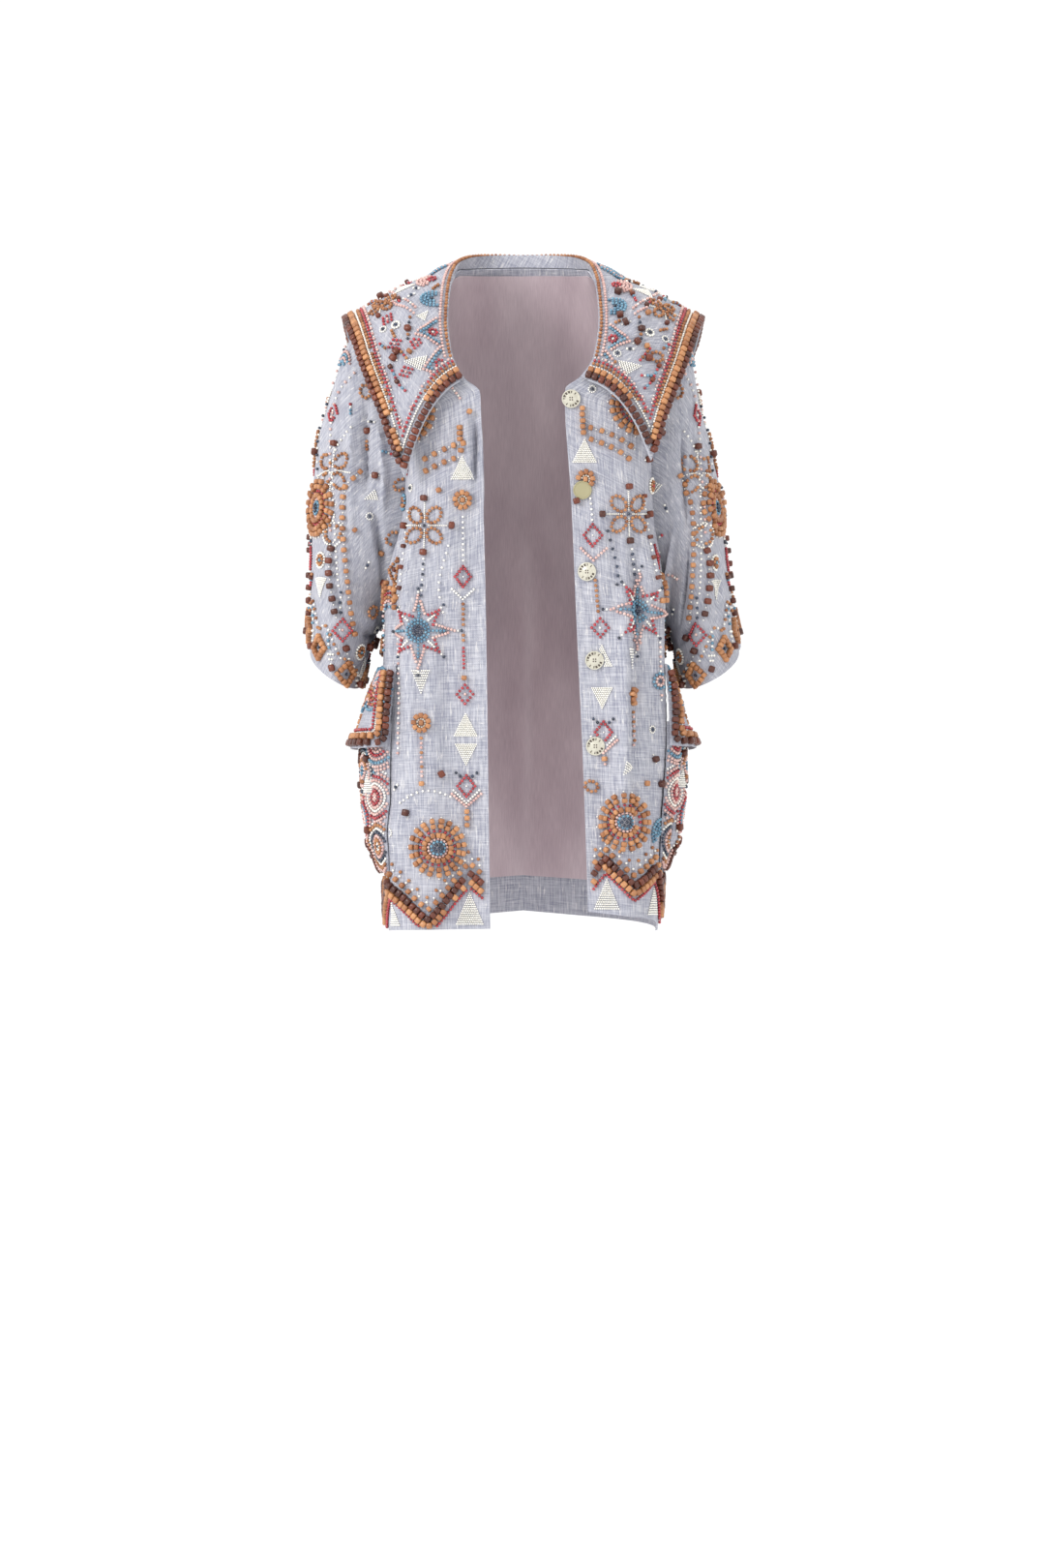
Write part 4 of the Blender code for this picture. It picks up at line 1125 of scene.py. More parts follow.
def shell(panel, replaced, thickness, outside, within, facing=None):
    """The panel's mesh, as thick as the cloth, in the place of the named solids."""
    rows, columns = panel.points.shape[:2]
    deselected()
    bpy.ops.mesh.primitive_grid_add(x_subdivisions=columns - 1, y_subdivisions=rows - 1, size=2)
    piece = bpy.context.object
    piece.name = piece.data.name = panel.name + "_cloth"
    mesh = piece.data
    flat = np.zeros(len(mesh.vertices) * 3)
    mesh.vertices.foreach_get("co", flat)
    flat = flat.reshape(-1, 3)
    i = np.rint((flat[:, 0] + 1) / 2 * (columns - 1)).astype(int)
    j = np.rint((flat[:, 1] + 1) / 2 * (rows - 1)).astype(int)
    mesh.vertices.foreach_set("co", panel.points[j, i].astype(np.float32).ravel())
    corners = np.zeros(len(mesh.loops), int)
    mesh.loops.foreach_get("vertex_index", corners)
    chart = np.stack([panel.across[j, i], panel.up[j]], axis=-1)[corners]
    if panel.closed:
        behind = i[corners].reshape(-1, 4).min(axis=1).repeat(4) >= columns // 2
        chart[:, 0] -= behind * panel.across[j, -1][corners]
    mesh.uv_layers[0].name = "cloth"
    mesh.uv_layers["cloth"].data.foreach_set("uv", chart.astype(np.float32).ravel())
    share = np.zeros(panel.across.shape) if facing is None else facing(panel)
    facings = mesh.attributes.new("facing", "FLOAT", "POINT")
    facings.data.foreach_set("value", share[j, i].astype(np.float32))
    mode("EDIT")
    bpy.ops.mesh.select_all(action="SELECT")
    if panel.closed:
        bpy.ops.mesh.remove_doubles(threshold=SEAM_REACH)
    mode("OBJECT")
    middle = mesh.polygons[len(mesh.polygons) // 2]
    nearest = np.linalg.norm(panel.points - np.array(middle.center), axis=-1).argmin()
    if float(np.dot(np.array(middle.normal), panel.normals.reshape(-1, 3)[nearest])) < 0:
        mesh.flip_normals()
    mesh.materials.append(outside)
    mesh.materials.append(within)
    wall = piece.modifiers.new("wall", "SOLIDIFY")
    wall.thickness = thickness
    wall.offset = -1
    wall.material_offset = 1
    bpy.ops.object.modifier_apply(modifier="wall")
    bpy.ops.object.shade_smooth_by_angle(angle=SOFT_ANGLE)
    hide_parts(*replaced)
    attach(piece, "root")


def front_facing(panel):
    """Linen inside the front edge and above the hem."""
    near = np.minimum(panel.across - FACING, panel.heights - HEM_TURN)
    return (near < 0).astype(float)


def hem_facing(panel):
    return (panel.heights < HEM_TURN).astype(float)


def all_facing(panel):
    return np.ones(panel.across.shape)


# %% Sew the shells
for side in SIDES:
    for panel, outside, facing in [
        (front_panels[side], straight_linen, front_facing),
        (sleeve_panels[side], slanted_linen, hem_facing),
        (pocket_panels[side], straight_linen, all_facing),
        (flap_panels[side], straight_linen, all_facing),
    ]:
        shell(panel, [panel.name], WALL, outside, inside, facing)
shell(back_panel, ["back"], WALL, straight_linen, inside, all_facing)
shell(collar_panel, ["collar"], COLLAR_WALL, slanted_linen, straight_linen, all_facing)

# %% [markdown]
# ### Satin lining of the back
# The lining is the back once more, laid just inside it. It stops above the hem, where the linen
# turns in, and its lower edge hangs a little loose.

# %% Line the back
LINING_GAP = 0.0004
LINING_WALL = 0.001
LINING_HEM = 0.04
LOOSE_HEM = 0.012
RIPPLE_HEIGHT = 0.0011
SOFT_HEIGHT = 0.0006
rows = back_panel.up > LINING_HEM
points = back_panel.points - back_panel.normals * (WALL + LINING_GAP)
points = points[rows][:-2:2, 2:-2:2]
us, vs = back_panel.us[2:-2:2], back_panel.vs[rows][:-2:2]
lining_panel = Panel("back_lining", us, vs, points, -1, column=len(us) // 2)
loose = np.exp(-((lining_panel.up / LOOSE_HEM) ** 2))[:, None]
ripple = RIPPLE_HEIGHT * (1 + np.sin(lining_panel.across * 150)) * loose
sway = 3 * np.sin(lining_panel.up * 14)[:, None]
lifted(lining_panel, -ripple - SOFT_HEIGHT * (1 + np.sin(lining_panel.across * 60 + sway)))
satin = lining_finish.material
shell(lining_panel, ["back_lining"], LINING_WALL, satin, satin)

# %% [markdown]
# ### Binding of the collar
# A thin pale cord is sewn under the collar's free edges, which it keeps from curling. It is a curve
# through the edge's points with a round section, turned into a mesh.

# %% Bind the collar
BINDING_RADIUS = 0.0012
BINDING_DROP = 0.0026
BINDING_START = 5
edges = []
for field in (collar_panel.points, collar_panel.normals):
    wings = field[BINDING_START:, 0], field[BINDING_START:, -1][::-1]
    edges.append(np.concatenate([wings[0], field[-1, 1:-1], wings[1]]))
route = edges[0] - edges[1] * BINDING_DROP
curve = bpy.data.curves.new("collar_binding", "CURVE")
curve.dimensions = "3D"
curve.bevel_depth = BINDING_RADIUS
curve.bevel_resolution = 2
curve.use_fill_caps = True
line = curve.splines.new("POLY")
line.points.add(len(route) - 1)
for knot, place in zip(line.points, route):
    knot.co = (*place, 1)
binding = linked("collar_binding", curve)
deselected()
binding.select_set(True)
bpy.context.view_layer.objects.active = binding
bpy.ops.object.convert(target="MESH")
binding = bpy.context.object
cord_finish = Finish("binding_cord", Roughness=0.8, Base_Color=colour_of(176, 178, 186))
binding.data.materials.append(cord_finish.material)
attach(binding, "root")
print("Binding:", len(binding.data.polygons), "faces")

# %% [markdown]
# ## Buttons
# Five buttons run down the left front. Four are pressed with a raised rim, a ring of slots and four
# holes for the thread; the slots are shallow dents and the holes thin discs, both in a dark finish
# that paints the shade of a hollow. The second is a plain greenish disc, as in the photograph. A
# button is a cylinder whose top is inset step by step, and whose finished mesh is then moved to its
# place on the cloth.

# %% Press the buttons
BUTTON_RADIUS = 0.011
BUTTON_HEIGHT = 0.0026
BUTTON_SEAT = 0.00085
BUTTON_PLACES = [(0.05, 0.752), (0.1, 0.638), (0.085, 0.52), (0.085, 0.385), (0.07, 0.258)]
PLAIN_BUTTON = 2
AROUND = 42
EDGE_ROUND = 0.0005
RIM_WIDTH = 0.0007
RIM_SLOPE = {"thickness": 0.0004, "depth": -0.0006}
SLOT_WIDTH = 0.0028
MIDDLE_SLOPE = {"thickness": 0.0004, "depth": 0.0003}
SLOT_CUT = {"thickness": 0.0001, "depth": -0.0005}
SLOT_RING = (0.0066, 0.0088)
HOLES = 4
HOLE_OFFSET = 0.0019
HOLE_RADIUS = 0.0009
HOLE_HEIGHT = 0.00095
# The slots and thread holes take this dark finish: painted shade, where the real ones are hollow.
dark = Finish("painted_slot_shade", Roughness=0.6, Base_Color=colour_of(74, 60, 54))
khaki = Finish("khaki_disc", Roughness=0.25, Coat_Weight=0.4, Base_Color=colour_of(162, 155, 120))


def polar(radius, turn):
    return radius * math.cos(turn), radius * math.sin(turn)


def slot_face(face):
    """Every third face of the ring between the rim and the middle."""
    step = round(math.atan2(face.center.y, face.center.x) / math.tau * AROUND - 0.5)
    radius = math.hypot(face.center.x, face.center.y)
    return SLOT_RING[0] < radius < SLOT_RING[1] and step % 3 == 0 and face.center.z > 0


buttons = []
for number, (u, v) in enumerate(BUTTON_PLACES, 1):
    deselected()
    bpy.ops.mesh.primitive_cylinder_add(vertices=AROUND, radius=BUTTON_RADIUS, depth=BUTTON_HEIGHT)
    button = bpy.context.object
    button.name = button.data.name = f"pressed_button_{number}"
    button.data.materials.append(khaki.material if number == PLAIN_BUTTON else pearl.material)
    button.data.materials.append(dark.material)
    heights = [vert.co.z for vert in button.data.vertices]
    picked(button, "EDGE", lambda edge: heights[edge.vertices[0]] == heights[edge.vertices[1]])
    bpy.ops.mesh.bevel(offset=EDGE_ROUND, segments=2)
    mode("OBJECT")
    picked(button, "FACE", lambda face: face.center.z > 0.001 and face.normal.z > 0.99)
    bpy.ops.mesh.inset(thickness=RIM_WIDTH)
    bpy.ops.mesh.inset(**RIM_SLOPE)
    if number != PLAIN_BUTTON:
        bpy.ops.mesh.inset(thickness=SLOT_WIDTH)
        bpy.ops.mesh.inset(**MIDDLE_SLOPE)
        mode("OBJECT")
        # The slots are shallow dents; their dark finish paints the shade of a deeper cut.
        picked(button, "FACE", slot_face)
        bpy.ops.mesh.inset(**SLOT_CUT, use_individual=True)
        button.active_material_index = 1
        bpy.ops.object.material_slot_assign()
        # Each thread hole is a thin dark disc on the top: painted shade in place of a hole.
        for k in range(HOLES):
            spot = (*polar(HOLE_OFFSET, math.pi / 4 + math.pi / 2 * k), HOLE_HEIGHT)
            bpy.ops.mesh.primitive_cylinder_add(
                vertices=10, radius=HOLE_RADIUS, depth=0.0002, location=spot
            )
            bpy.ops.object.material_slot_assign()
    mode("OBJECT")
    bpy.ops.object.shade_smooth_by_angle(angle=math.radians(40))
    point, out, *_ = front_panels["left"].frame_at(np.array([u]), np.array([v]))
    ahead = np.cross(out[0], (0, 0, 1))
    ahead = ahead / np.linalg.norm(ahead)
    place = np.eye(4)
    place[:3, 0], place[:3, 1], place[:3, 2] = ahead, np.cross(out[0], ahead), out[0]
    place[:3, 3] = point[0] + out[0] * (BUTTON_SEAT + BUTTON_HEIGHT / 2)
    button.data.transform(Matrix(place))
    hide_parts(f"button_{number}")
    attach(button, "root")
    buttons.append((button, place[:3, 3]))
print("Buttons:", len(buttons), "with", len(buttons[0][0].data.polygons), "faces on the first")

# %% [markdown]
# ## Beads
# Three shapes do for every bead: a sawn block with soft edges, a round glass bead and a tiny seed
# bead. Each is modelled once, with few faces, because it is repeated thousands of times. The
# beads of one panel and one colour are then joined in a single mesh from arrays.

# %% Model one bead of each shape
BLOCK_SOFTNESS = 0.3
FLATNESS = 0.9


def shape_of(obj):
    """A modelled bead as arrays: its points, the corners of its faces, and how many each has."""
    mesh = obj.data
    points = np.array([vert.co[:] for vert in mesh.vertices])
    corners = np.array([corner for face in mesh.polygons for corner in face.vertices])
    counts = np.array([len(face.vertices) for face in mesh.polygons])
    bpy.data.objects.remove(obj)
    return points, corners, counts


deselected()
bpy.ops.mesh.primitive_cube_add(size=2)
mode("EDIT")
bpy.ops.mesh.bevel(offset=BLOCK_SOFTNESS, segments=1)
bpy.ops.mesh.normals_make_consistent(inside=False)
mode("OBJECT")
SHAPES = {"block": shape_of(bpy.context.object)}
for name, around, rings in [("round", 7, 4), ("seed", 6, 3)]:
    deselected()
    bpy.ops.mesh.primitive_uv_sphere_add(segments=around, ring_count=rings, radius=1)
    mode("EDIT")
    bpy.ops.transform.rotate(value=math.pi / 2, orient_axis="Y", center_override=(0, 0, 0))
    bpy.ops.transform.resize(value=(FLATNESS, 1, 1), center_override=(0, 0, 0))
    mode("OBJECT")
    SHAPES[name] = shape_of(bpy.context.object)
print("Faces of a bead:", {name: len(shape[2]) for name, shape in SHAPES.items()})

# %% [markdown]
# ### The kinds of bead
# A kind has a shape, half its size, its finish and the tone that it varies around. Sizes were read
# off the photograph: the dark blocks are 8 mm, the tan ones 6 to 7 mm, glass beads about 4 mm and
# seed beads 2.4 mm.

# %% List the kinds of bead
BEADS = {
    "brown": ("block", 0.0038, "brown_wood", 0.45),
    "amber": ("block", 0.0036, "amber_wood", 0.55),
    "nut": ("block", 0.0027, "brown_wood", 0.55),
    "tan": ("block", 0.003, "amber_wood", 0.5),
    "grain": ("round", 0.0023, "amber_wood", 0.4),
    "red": ("round", 0.00205, "red_glass", 0.5),
    "pink": ("round", 0.002, "pink_glass", 0.55),
    "teal": ("round", 0.00205, "teal_glass", 0.5),
    "navy": ("round", 0.0021, "navy_glass", 0.45),
    "pearl": ("round", 0.0016, "cream_glass", 0.6),
    "white": ("seed", 0.00118, "cream_glass", 0.65),
}
TONE_SPREAD = 0.32
SEED = 11
chance = np.random.default_rng(SEED)


def size_of(kind):
    return BEADS[kind][1]


# %% [markdown]
# ### Sewing
# `Sewing` lists the beads of one panel in the order they are sewn. Some follow a route, as on a
# thread. Others belong to a motif, drawn flat about its own middle and then laid on the cloth. A
# bead that finds its place taken, or that would touch another panel, is left out, as the
# embroiderer would.


# %% The Sewing helper
BEAD_LENGTH = 2.04
NEAR = 0.001
ROUTE_STEPS = 10


def smooth_route(points):
    """A curve through the points of the flat map."""
    points = np.asarray(points, float)
    ends = np.concatenate([[2 * points[0] - points[1]], points, [2 * points[-1] - points[-2]]])
    t = np.linspace(0, 1, ROUTE_STEPS, endpoint=False)[:, None]
    parts = []
    for before, start, end, after in zip(ends, ends[1:], ends[2:], ends[3:]):
        bend = 2 * before - 5 * start + 4 * end - after
        twist = -before + 3 * start - 3 * end + after
        parts.append(0.5 * (2 * start + (end - before) * t + bend * t**2 + twist * t**3))
    return np.concatenate([*parts, points[-1:]])


class Sewing:
    """The beads of one panel."""

    def __init__(self, panel):
        self.panel = panel
        self.kinds = []
        self.rows = []

    def add(self, kinds, u, v, direction, lift):
        self.kinds += list(kinds)
        self.rows.append(np.column_stack([u, v, direction, lift]))

    def thread(self, route, pattern, gap=0.0):
        """Beads along a route of (u, v) points, which repeat the pattern, with a gap between."""
        route = np.asarray(route, float)
        run = run_along(self.panel.at(*route.T))
        kinds = pattern.split()
        sizes = np.array([BEAD_LENGTH * size_of(kind) + gap for kind in kinds])
        count = max(1, round(run[-1] / sizes.mean()))
        lengths = np.resize(sizes, count)
        middles = (np.cumsum(lengths) - lengths / 2) * run[-1] / lengths.sum()
        u = np.interp(middles, run, route[:, 0])
        v = np.interp(middles, run, route[:, 1])
        ends = []
        for step in (-NEAR, NEAR):
            place = np.interp(middles + step, run, np.arange(len(run)))
            at_u, at_v = (np.interp(place, np.arange(len(run)), route[:, k]) for k in (0, 1))
            ends.append(self.panel.at(at_u, at_v))
        self.add(np.resize(kinds, count), u, v, ends[1] - ends[0], np.zeros(count))

    def line(self, points, pattern, gap=0.0, smooth=True):
        """A thread along points of the flat map, in metres."""
        path = smooth_route(points) if smooth else np.asarray(points, float)
        self.thread([self.panel.place(a, b) for a, b in path], pattern, gap)

    def motif(self, a, b, dots):
        """Lays (x, y, kind, angle, lift) dots about the point (a, b) of the flat map, upright."""
        spot = self.panel.place(a, b)
        self.motif_at(*spot, dots, self.upright(*spot))

    def upright(self, u, v):
        """The turn by which a figure stands upright at (u, v)."""
        _, _, across, up, *_ = self.panel.frame_at(np.array([u]), np.array([v]))
        return math.atan2(-across[0, 2], up[0, 2])

    def motif_at(self, u, v, dots, turn=0.0):
        x, y, angle, lift = np.array([(x, y, angle, lift) for x, y, _, angle, lift in dots]).T
        right = x * math.cos(turn) - y * math.sin(turn)
        above = x * math.sin(turn) + y * math.cos(turn)
        us, vs = self.panel.shifted(u, v, right, above)
        _, _, across, up, *_ = self.panel.frame_at(us, vs)
        angle = (angle + turn)[:, None]
        direction = across * np.cos(angle) + up * np.sin(angle)
        self.add([dot[2] for dot in dots], us, vs, direction, lift)


# %% [markdown]
# ### Motifs
# All motifs are common ones of bead embroidery: rings, rays, triangles, diamonds, arrows and small
# rosettes, drawn by formula. A motif is a list of dots about (0, 0), in metres.


# %% Draw rings, rays and suns
LOOSE = 1.05


def ring(radius, kind, start=0.0, spread=1.06, lift=0.0):
    count = max(3, round(math.tau * radius / (2 * size_of(kind) * spread)))
    turns = [start + math.tau * k / count for k in range(count)]
    return [(*polar(radius, turn), kind, turn + math.pi / 2, lift) for turn in turns]


def rays(count, first, kinds, start=0.0, opened=math.tau):
    """Short threads that run outwards; first is the radius at which they begin."""
    dots = []
    for k in range(count):
        turn = start + opened * k / (count if opened == math.tau else count - 1)
        radius = first
        for kind in kinds.split():
            radius += size_of(kind) * LOOSE
            dots.append((*polar(radius, turn), kind, turn, 0.0))
            radius += size_of(kind) * LOOSE
    return dots


def sunburst():
    """A domed dark middle in rings of pink and tan, with rays of tan blocks."""
    dots = [(0, 0, "navy", 0, 0.0034)]
    dots += ring(0.004, "navy", 0.0, 1.0, 0.0028) + ring(0.0074, "teal", 0.3, 1.0, 0.0014)
    dots += ring(0.0108, "pink", 0.1, 1.02) + ring(0.0152, "tan", 0.0, 0.98)
    dots += rays(19, 0.018, "red tan tan white", 0.05)
    return dots


def half_sun(kinds="red tan tan white"):
    """The upper half of a sunburst."""
    dots = [(0, 0.002, "navy", 0, 0.001)]
    for radius, kind in [(0.0048, "teal"), (0.0088, "pink"), (0.0132, "grain")]:
        dots += [dot for dot in ring(radius, kind) if dot[1] > -0.001]
    return dots + rays(10, 0.0158, kinds, 0.06, math.pi - 0.12)


def rosette(middle="tan", petals="pearl", outer="tan"):
    dots = [(0, 0, middle, 0, 0.0006)] + ring(0.0042 + size_of(petals) * 0.4, petals, 0.2, 1.0)
    return dots + (ring(0.0088, outer, 0.1, 1.08) if outer else [])


print("A sunburst takes", len(sunburst()), "beads, a rosette", len(rosette()))

# %% Draw figures with straight sides
TRIANGLE_PITCH = 1.88
OUTLINE_SPREAD = 1.04


def crest():
    """A red diamond over a white and a pink chevron, with four dark dots above it."""
    dots = diamond(0.021, 0.025)
    for drop, kind in [(0.004, "pearl"), (0.0082, "pink")]:
        dots += moved(arrow(0.027 + drop, 0.015, kind), 0.0, -drop - 0.001)
    corners = [(-0.0125, 0.0155), (-0.0075, 0.0115), (0.0075, 0.0115), (0.0125, 0.0155)]
    return dots + [(x, y, "navy", 0, 0) for x, y in corners]


def triangle(width, height, kind="white", down=False):
    """Rows of touching beads, each row shorter than the one before."""
    pitch = TRIANGLE_PITCH * size_of(kind)
    rows = max(2, round(width / pitch))
    dots = []
    for row in range(rows):
        y = max(height, 0.88 * pitch * rows) * (row / (rows - 1) - 0.5)
        for k in range(rows - row):
            x = (k - (rows - row - 1) / 2) * pitch
            dots.append((x, -y if down else y, kind, 0.0, 0.0))
    return dots


def outline(corners, kind, closed=True):
    """Beads along straight lines between corners."""
    corners = [np.array(corner, float) for corner in corners]
    dots = []
    ends = corners[1:] + corners[:1] if closed else corners[1:]
    for start, end in zip(corners, ends):
        way = end - start
        length = float(np.hypot(*way))
        count = max(1, round(length / (2 * size_of(kind) * OUTLINE_SPREAD)))
        angle = math.atan2(way[1], way[0])
        dots += [(*(start + way * (k / count)).tolist(), kind, angle, 0.0) for k in range(count)]
    return dots if closed else [*dots, (*corners[-1].tolist(), kind, 0.0, 0.0)]


def diamond(width, height, kind="red", middle="white"):
    points = [(0, height / 2), (width / 2, 0), (0, -height / 2), (-width / 2, 0)]
    dots = outline(points, kind)
    return dots + ([(0, 0, middle, 0, 0)] if middle else [])


def arrow(width, drop, kind):
    """A chevron, open at the top; a drop below 0 turns it over."""
    return outline([(-width / 2, 0), (0, -drop), (width / 2, 0)], kind, closed=False)


def moved(dots, x, y):
    return [(dot[0] + x, dot[1] + y, *dot[2:]) for dot in dots]


print("A crest takes", len(crest()), "beads")


# %% Draw petals, stars and fans
def spun(dots, turn):
    """The dots turned about the middle."""
    cos, sin = math.cos(turn), math.sin(turn)
    return [
        (x * cos - y * sin, x * sin + y * cos, kind, angle + turn, lift)
        for x, y, kind, angle, lift in dots
    ]


def oval(width, height, kind):
    """Beads evenly spaced round an oval."""
    t = np.linspace(0, math.tau, 181)
    path = np.stack([width / 2 * np.cos(t), height / 2 * np.sin(t)], axis=-1)
    run = np.concatenate([[0], np.cumsum(np.hypot(*np.diff(path, axis=0).T))])
    count = max(5, round(run[-1] / (2.06 * size_of(kind))))
    dots = []
    for k in range(count):
        s = float(np.interp(run[-1] * k / count, run, t))
        spot = (width / 2 * math.cos(s), height / 2 * math.sin(s))
        dots.append((*spot, kind, math.atan2(height * math.cos(s), -width * math.sin(s)), 0.0))
    return dots


def star(size=1.0):
    """Eight pointed rays of glass beads about a dark middle, the long ones along the axes."""
    dots = [(0, 0, "navy", 0, 0.0024)]
    dots += ring(0.0042 * size, "navy", 0.0, 1.0, 0.0016) + ring(0.008 * size, "teal", 0.2, 1.0)
    dots += ring(0.0116 * size, "teal", 0.0, 1.0)
    foot = 0.0156 * size
    long = (0.039 * size, 0.0074 * size, "pink", "teal")
    short = (0.031 * size, 0.0068 * size, "red", "pearl")
    for k in range(8):
        reach, half, outer, inner = short if k % 2 else long
        ray = outline([(foot, -half), (reach, 0), (foot, half)], outer, closed=False)
        ray += outline([(foot, 0), (reach - 0.0085, 0)], inner, closed=False)
        ray += [(reach + 0.004, 0, "pearl", 0, 0), (reach + 0.0085, 0, "navy", 0, 0)]
        dots += spun(ray, math.pi / 4 * k)
    return dots


def four_petals(block="brown", size=1.1):
    """Four ovals with a block between each two and white lines that part them."""
    dots = [(0, 0, "navy", 0, 0)]
    for k in range(4):
        turn = math.pi / 4 + math.pi / 2 * k
        dots += spun(moved(oval(0.019 * size, 0.0135 * size, "grain"), 0.0155 * size, 0.0), turn)
        line = outline([(0.005, 0), (0.024 * size, 0)], "white", closed=False)
        dots += spun([*line, (0.029 * size, 0, block, 0, 0)], turn + math.pi / 4)
    return dots


def fan(kinds, count, first, last, opened=1.9):
    """Rows of beads on arcs about the upright, one outside the other."""
    kinds = kinds.split()
    dots = []
    for k in range(count):
        radius = first + (last - first) * k / max(1, count - 1)
        for dot in ring(radius, kinds[k % len(kinds)]):
            turn = math.atan2(dot[1], dot[0])
            off = (turn - math.pi / 2 + math.pi) % math.tau - math.pi
            if abs(off) < opened / 2:
                dots.append(dot)
    return dots


print("A star takes", len(star()), "beads")

# %% [markdown]
# ### Beads of the fronts
# Each front has two columns of motifs: one beside the edge and one further out, tied together by
# threads of spaced beads. A sunburst sits low on each, and a zigzag of dark blocks with a row of
# tan blocks and one of red beads under it runs above the hem, over white triangles.

# %% Bead the hems
HEM_LEFT = [(0.02, 0.04), (0.11, 0.064), (0.26, 0.036), (0.41, 0.06), (0.58, 0.02)]
HEM_LEFT += [(0.76, 0.056), (0.96, 0.022)]
HEM_RIGHT = [(0.02, 0.05), (0.1, 0.066), (0.3, 0.012), (0.5, 0.056), (0.72, 0.018)]
HEM_RIGHT += [(0.96, 0.058)]
HEM_TABLES = {"left": Table("u rise", HEM_LEFT), "right": Table("u rise", HEM_RIGHT)}
# How far under the zigzag each row runs, its beads and the gap between them.
HEM_ROWS = [
    (0.0, "brown", 0.0),
    (0.0078, "amber", 0.0),
    (0.0138, "red", 0.0),
    (-0.0092, "tan", 0.005),
    (-0.015, "pearl", 0.008),
    (-0.02, "grain", 0.01),
]
# Straight down, the rows of a slanting line lie this much further apart.
SLANTED = 1.25
STRAIGHTNESS = 0.75
HEM_EDGE = 0.004
PEAK = 0.045
UNDER_PEAK = 0.03
TRIANGLE_FOOT = 0.006
TRIANGLE_WIDTH = 0.92


def zigzag(table, us):
    """The rise of the hem's zigzag: mostly straight lines, with its corners a little rounded."""
    return STRAIGHTNESS * np.interp(us, *table.rows.T) + (1 - STRAIGHTNESS) * table.read("rise", us)


def hem_line(panel, table, low, high, inset):
    """The hem's zigzag on the flat map, moved down by a distance."""
    us = np.linspace(low, high, 161)
    a = np.interp(us, panel.us, panel.across[0])
    return np.stack([a, zigzag(table, us) - SLANTED * inset], axis=-1)


def hem_border(sewing, table, low, high):
    """The rows of the zigzag, and a triangle under each of its peaks."""
    panel = sewing.panel
    for inset, pattern, gap in HEM_ROWS:
        path = hem_line(panel, table, low, high, inset)
        sewing.line(path[path[:, 1] > HEM_EDGE], pattern, gap, smooth=False)
    rise = zigzag(table, np.linspace(low, high, 400))
    for k in range(1, 399):
        if rise[k] > max(rise[k - 1], rise[k + 1], PEAK):
            u = low + (high - low) * k / 399
            a = float(np.interp(u, panel.us, panel.across[0]))
            tall = rise[k] - UNDER_PEAK
            sewing.motif(a, tall / 2 + TRIANGLE_FOOT, triangle(tall * TRIANGLE_WIDTH, tall))


print("Rows of the hem's zigzag:", len(HEM_ROWS))

# %% List the figures and threads of the fronts
FRONT_SUNBURSTS = {"left": (0.22, 0.145), "right": (0.25, 0.118)}
# A place on the flat map, in millimetres across and up, and the figure that stands there.
FRONT_MOTIFS = {
    "right": [
        (26, 553, triangle(0.028, 0.026)),
        (27, 515, rosette()),
        (27, 420, diamond(0.019, 0.024)),
        (27, 404, arrow(0.026, 0.012, "pearl")),
        (26, 276, diamond(0.019, 0.022, "red", "pink")),
        (26, 240, triangle(0.029, 0.025)),
        (26, 205, triangle(0.027, 0.024, "white", True)),
        (26, 168, crest()),
        (76, 505, four_petals()),
        (80, 353, star(1.12)),
        (78, 292, triangle(0.022, 0.026, "white", True)),
        (78, 243, rosette()),
        (132, 470, diamond(0.022, 0.028, "grain", "nut")),
        (136, 400, half_sun()),
        (130, 560, rosette("navy", "grain", "teal")),
        (165, 500, triangle(0.024, 0.026)),
    ],
    "left": [
        (23, 552, triangle(0.028, 0.026)),
        (21.5, 517.5, rosette()),
        (26, 452, diamond(0.021, 0.026)),
        (26, 436, arrow(0.03, 0.014, "pink")),
        (28, 302, triangle(0.027, 0.024)),
        (28, 335, diamond(0.02, 0.022, "red", "pearl")),
        (26, 252, triangle(0.026, 0.022, "white", True)),
        (26, 212, crest()),
        (76, 500, four_petals()),
        (78, 362, star(1.12)),
        (64, 300, triangle(0.018, 0.022, "white", True)),
        (66, 256, rosette()),
        (104, 275, rosette("navy", "pink", "teal")),
        (130, 470, diamond(0.022, 0.028, "red", "nut")),
        (134, 400, half_sun()),
        (132, 560, rosette("red", "grain", "pearl")),
        (165, 505, triangle(0.024, 0.026)),
    ],
}
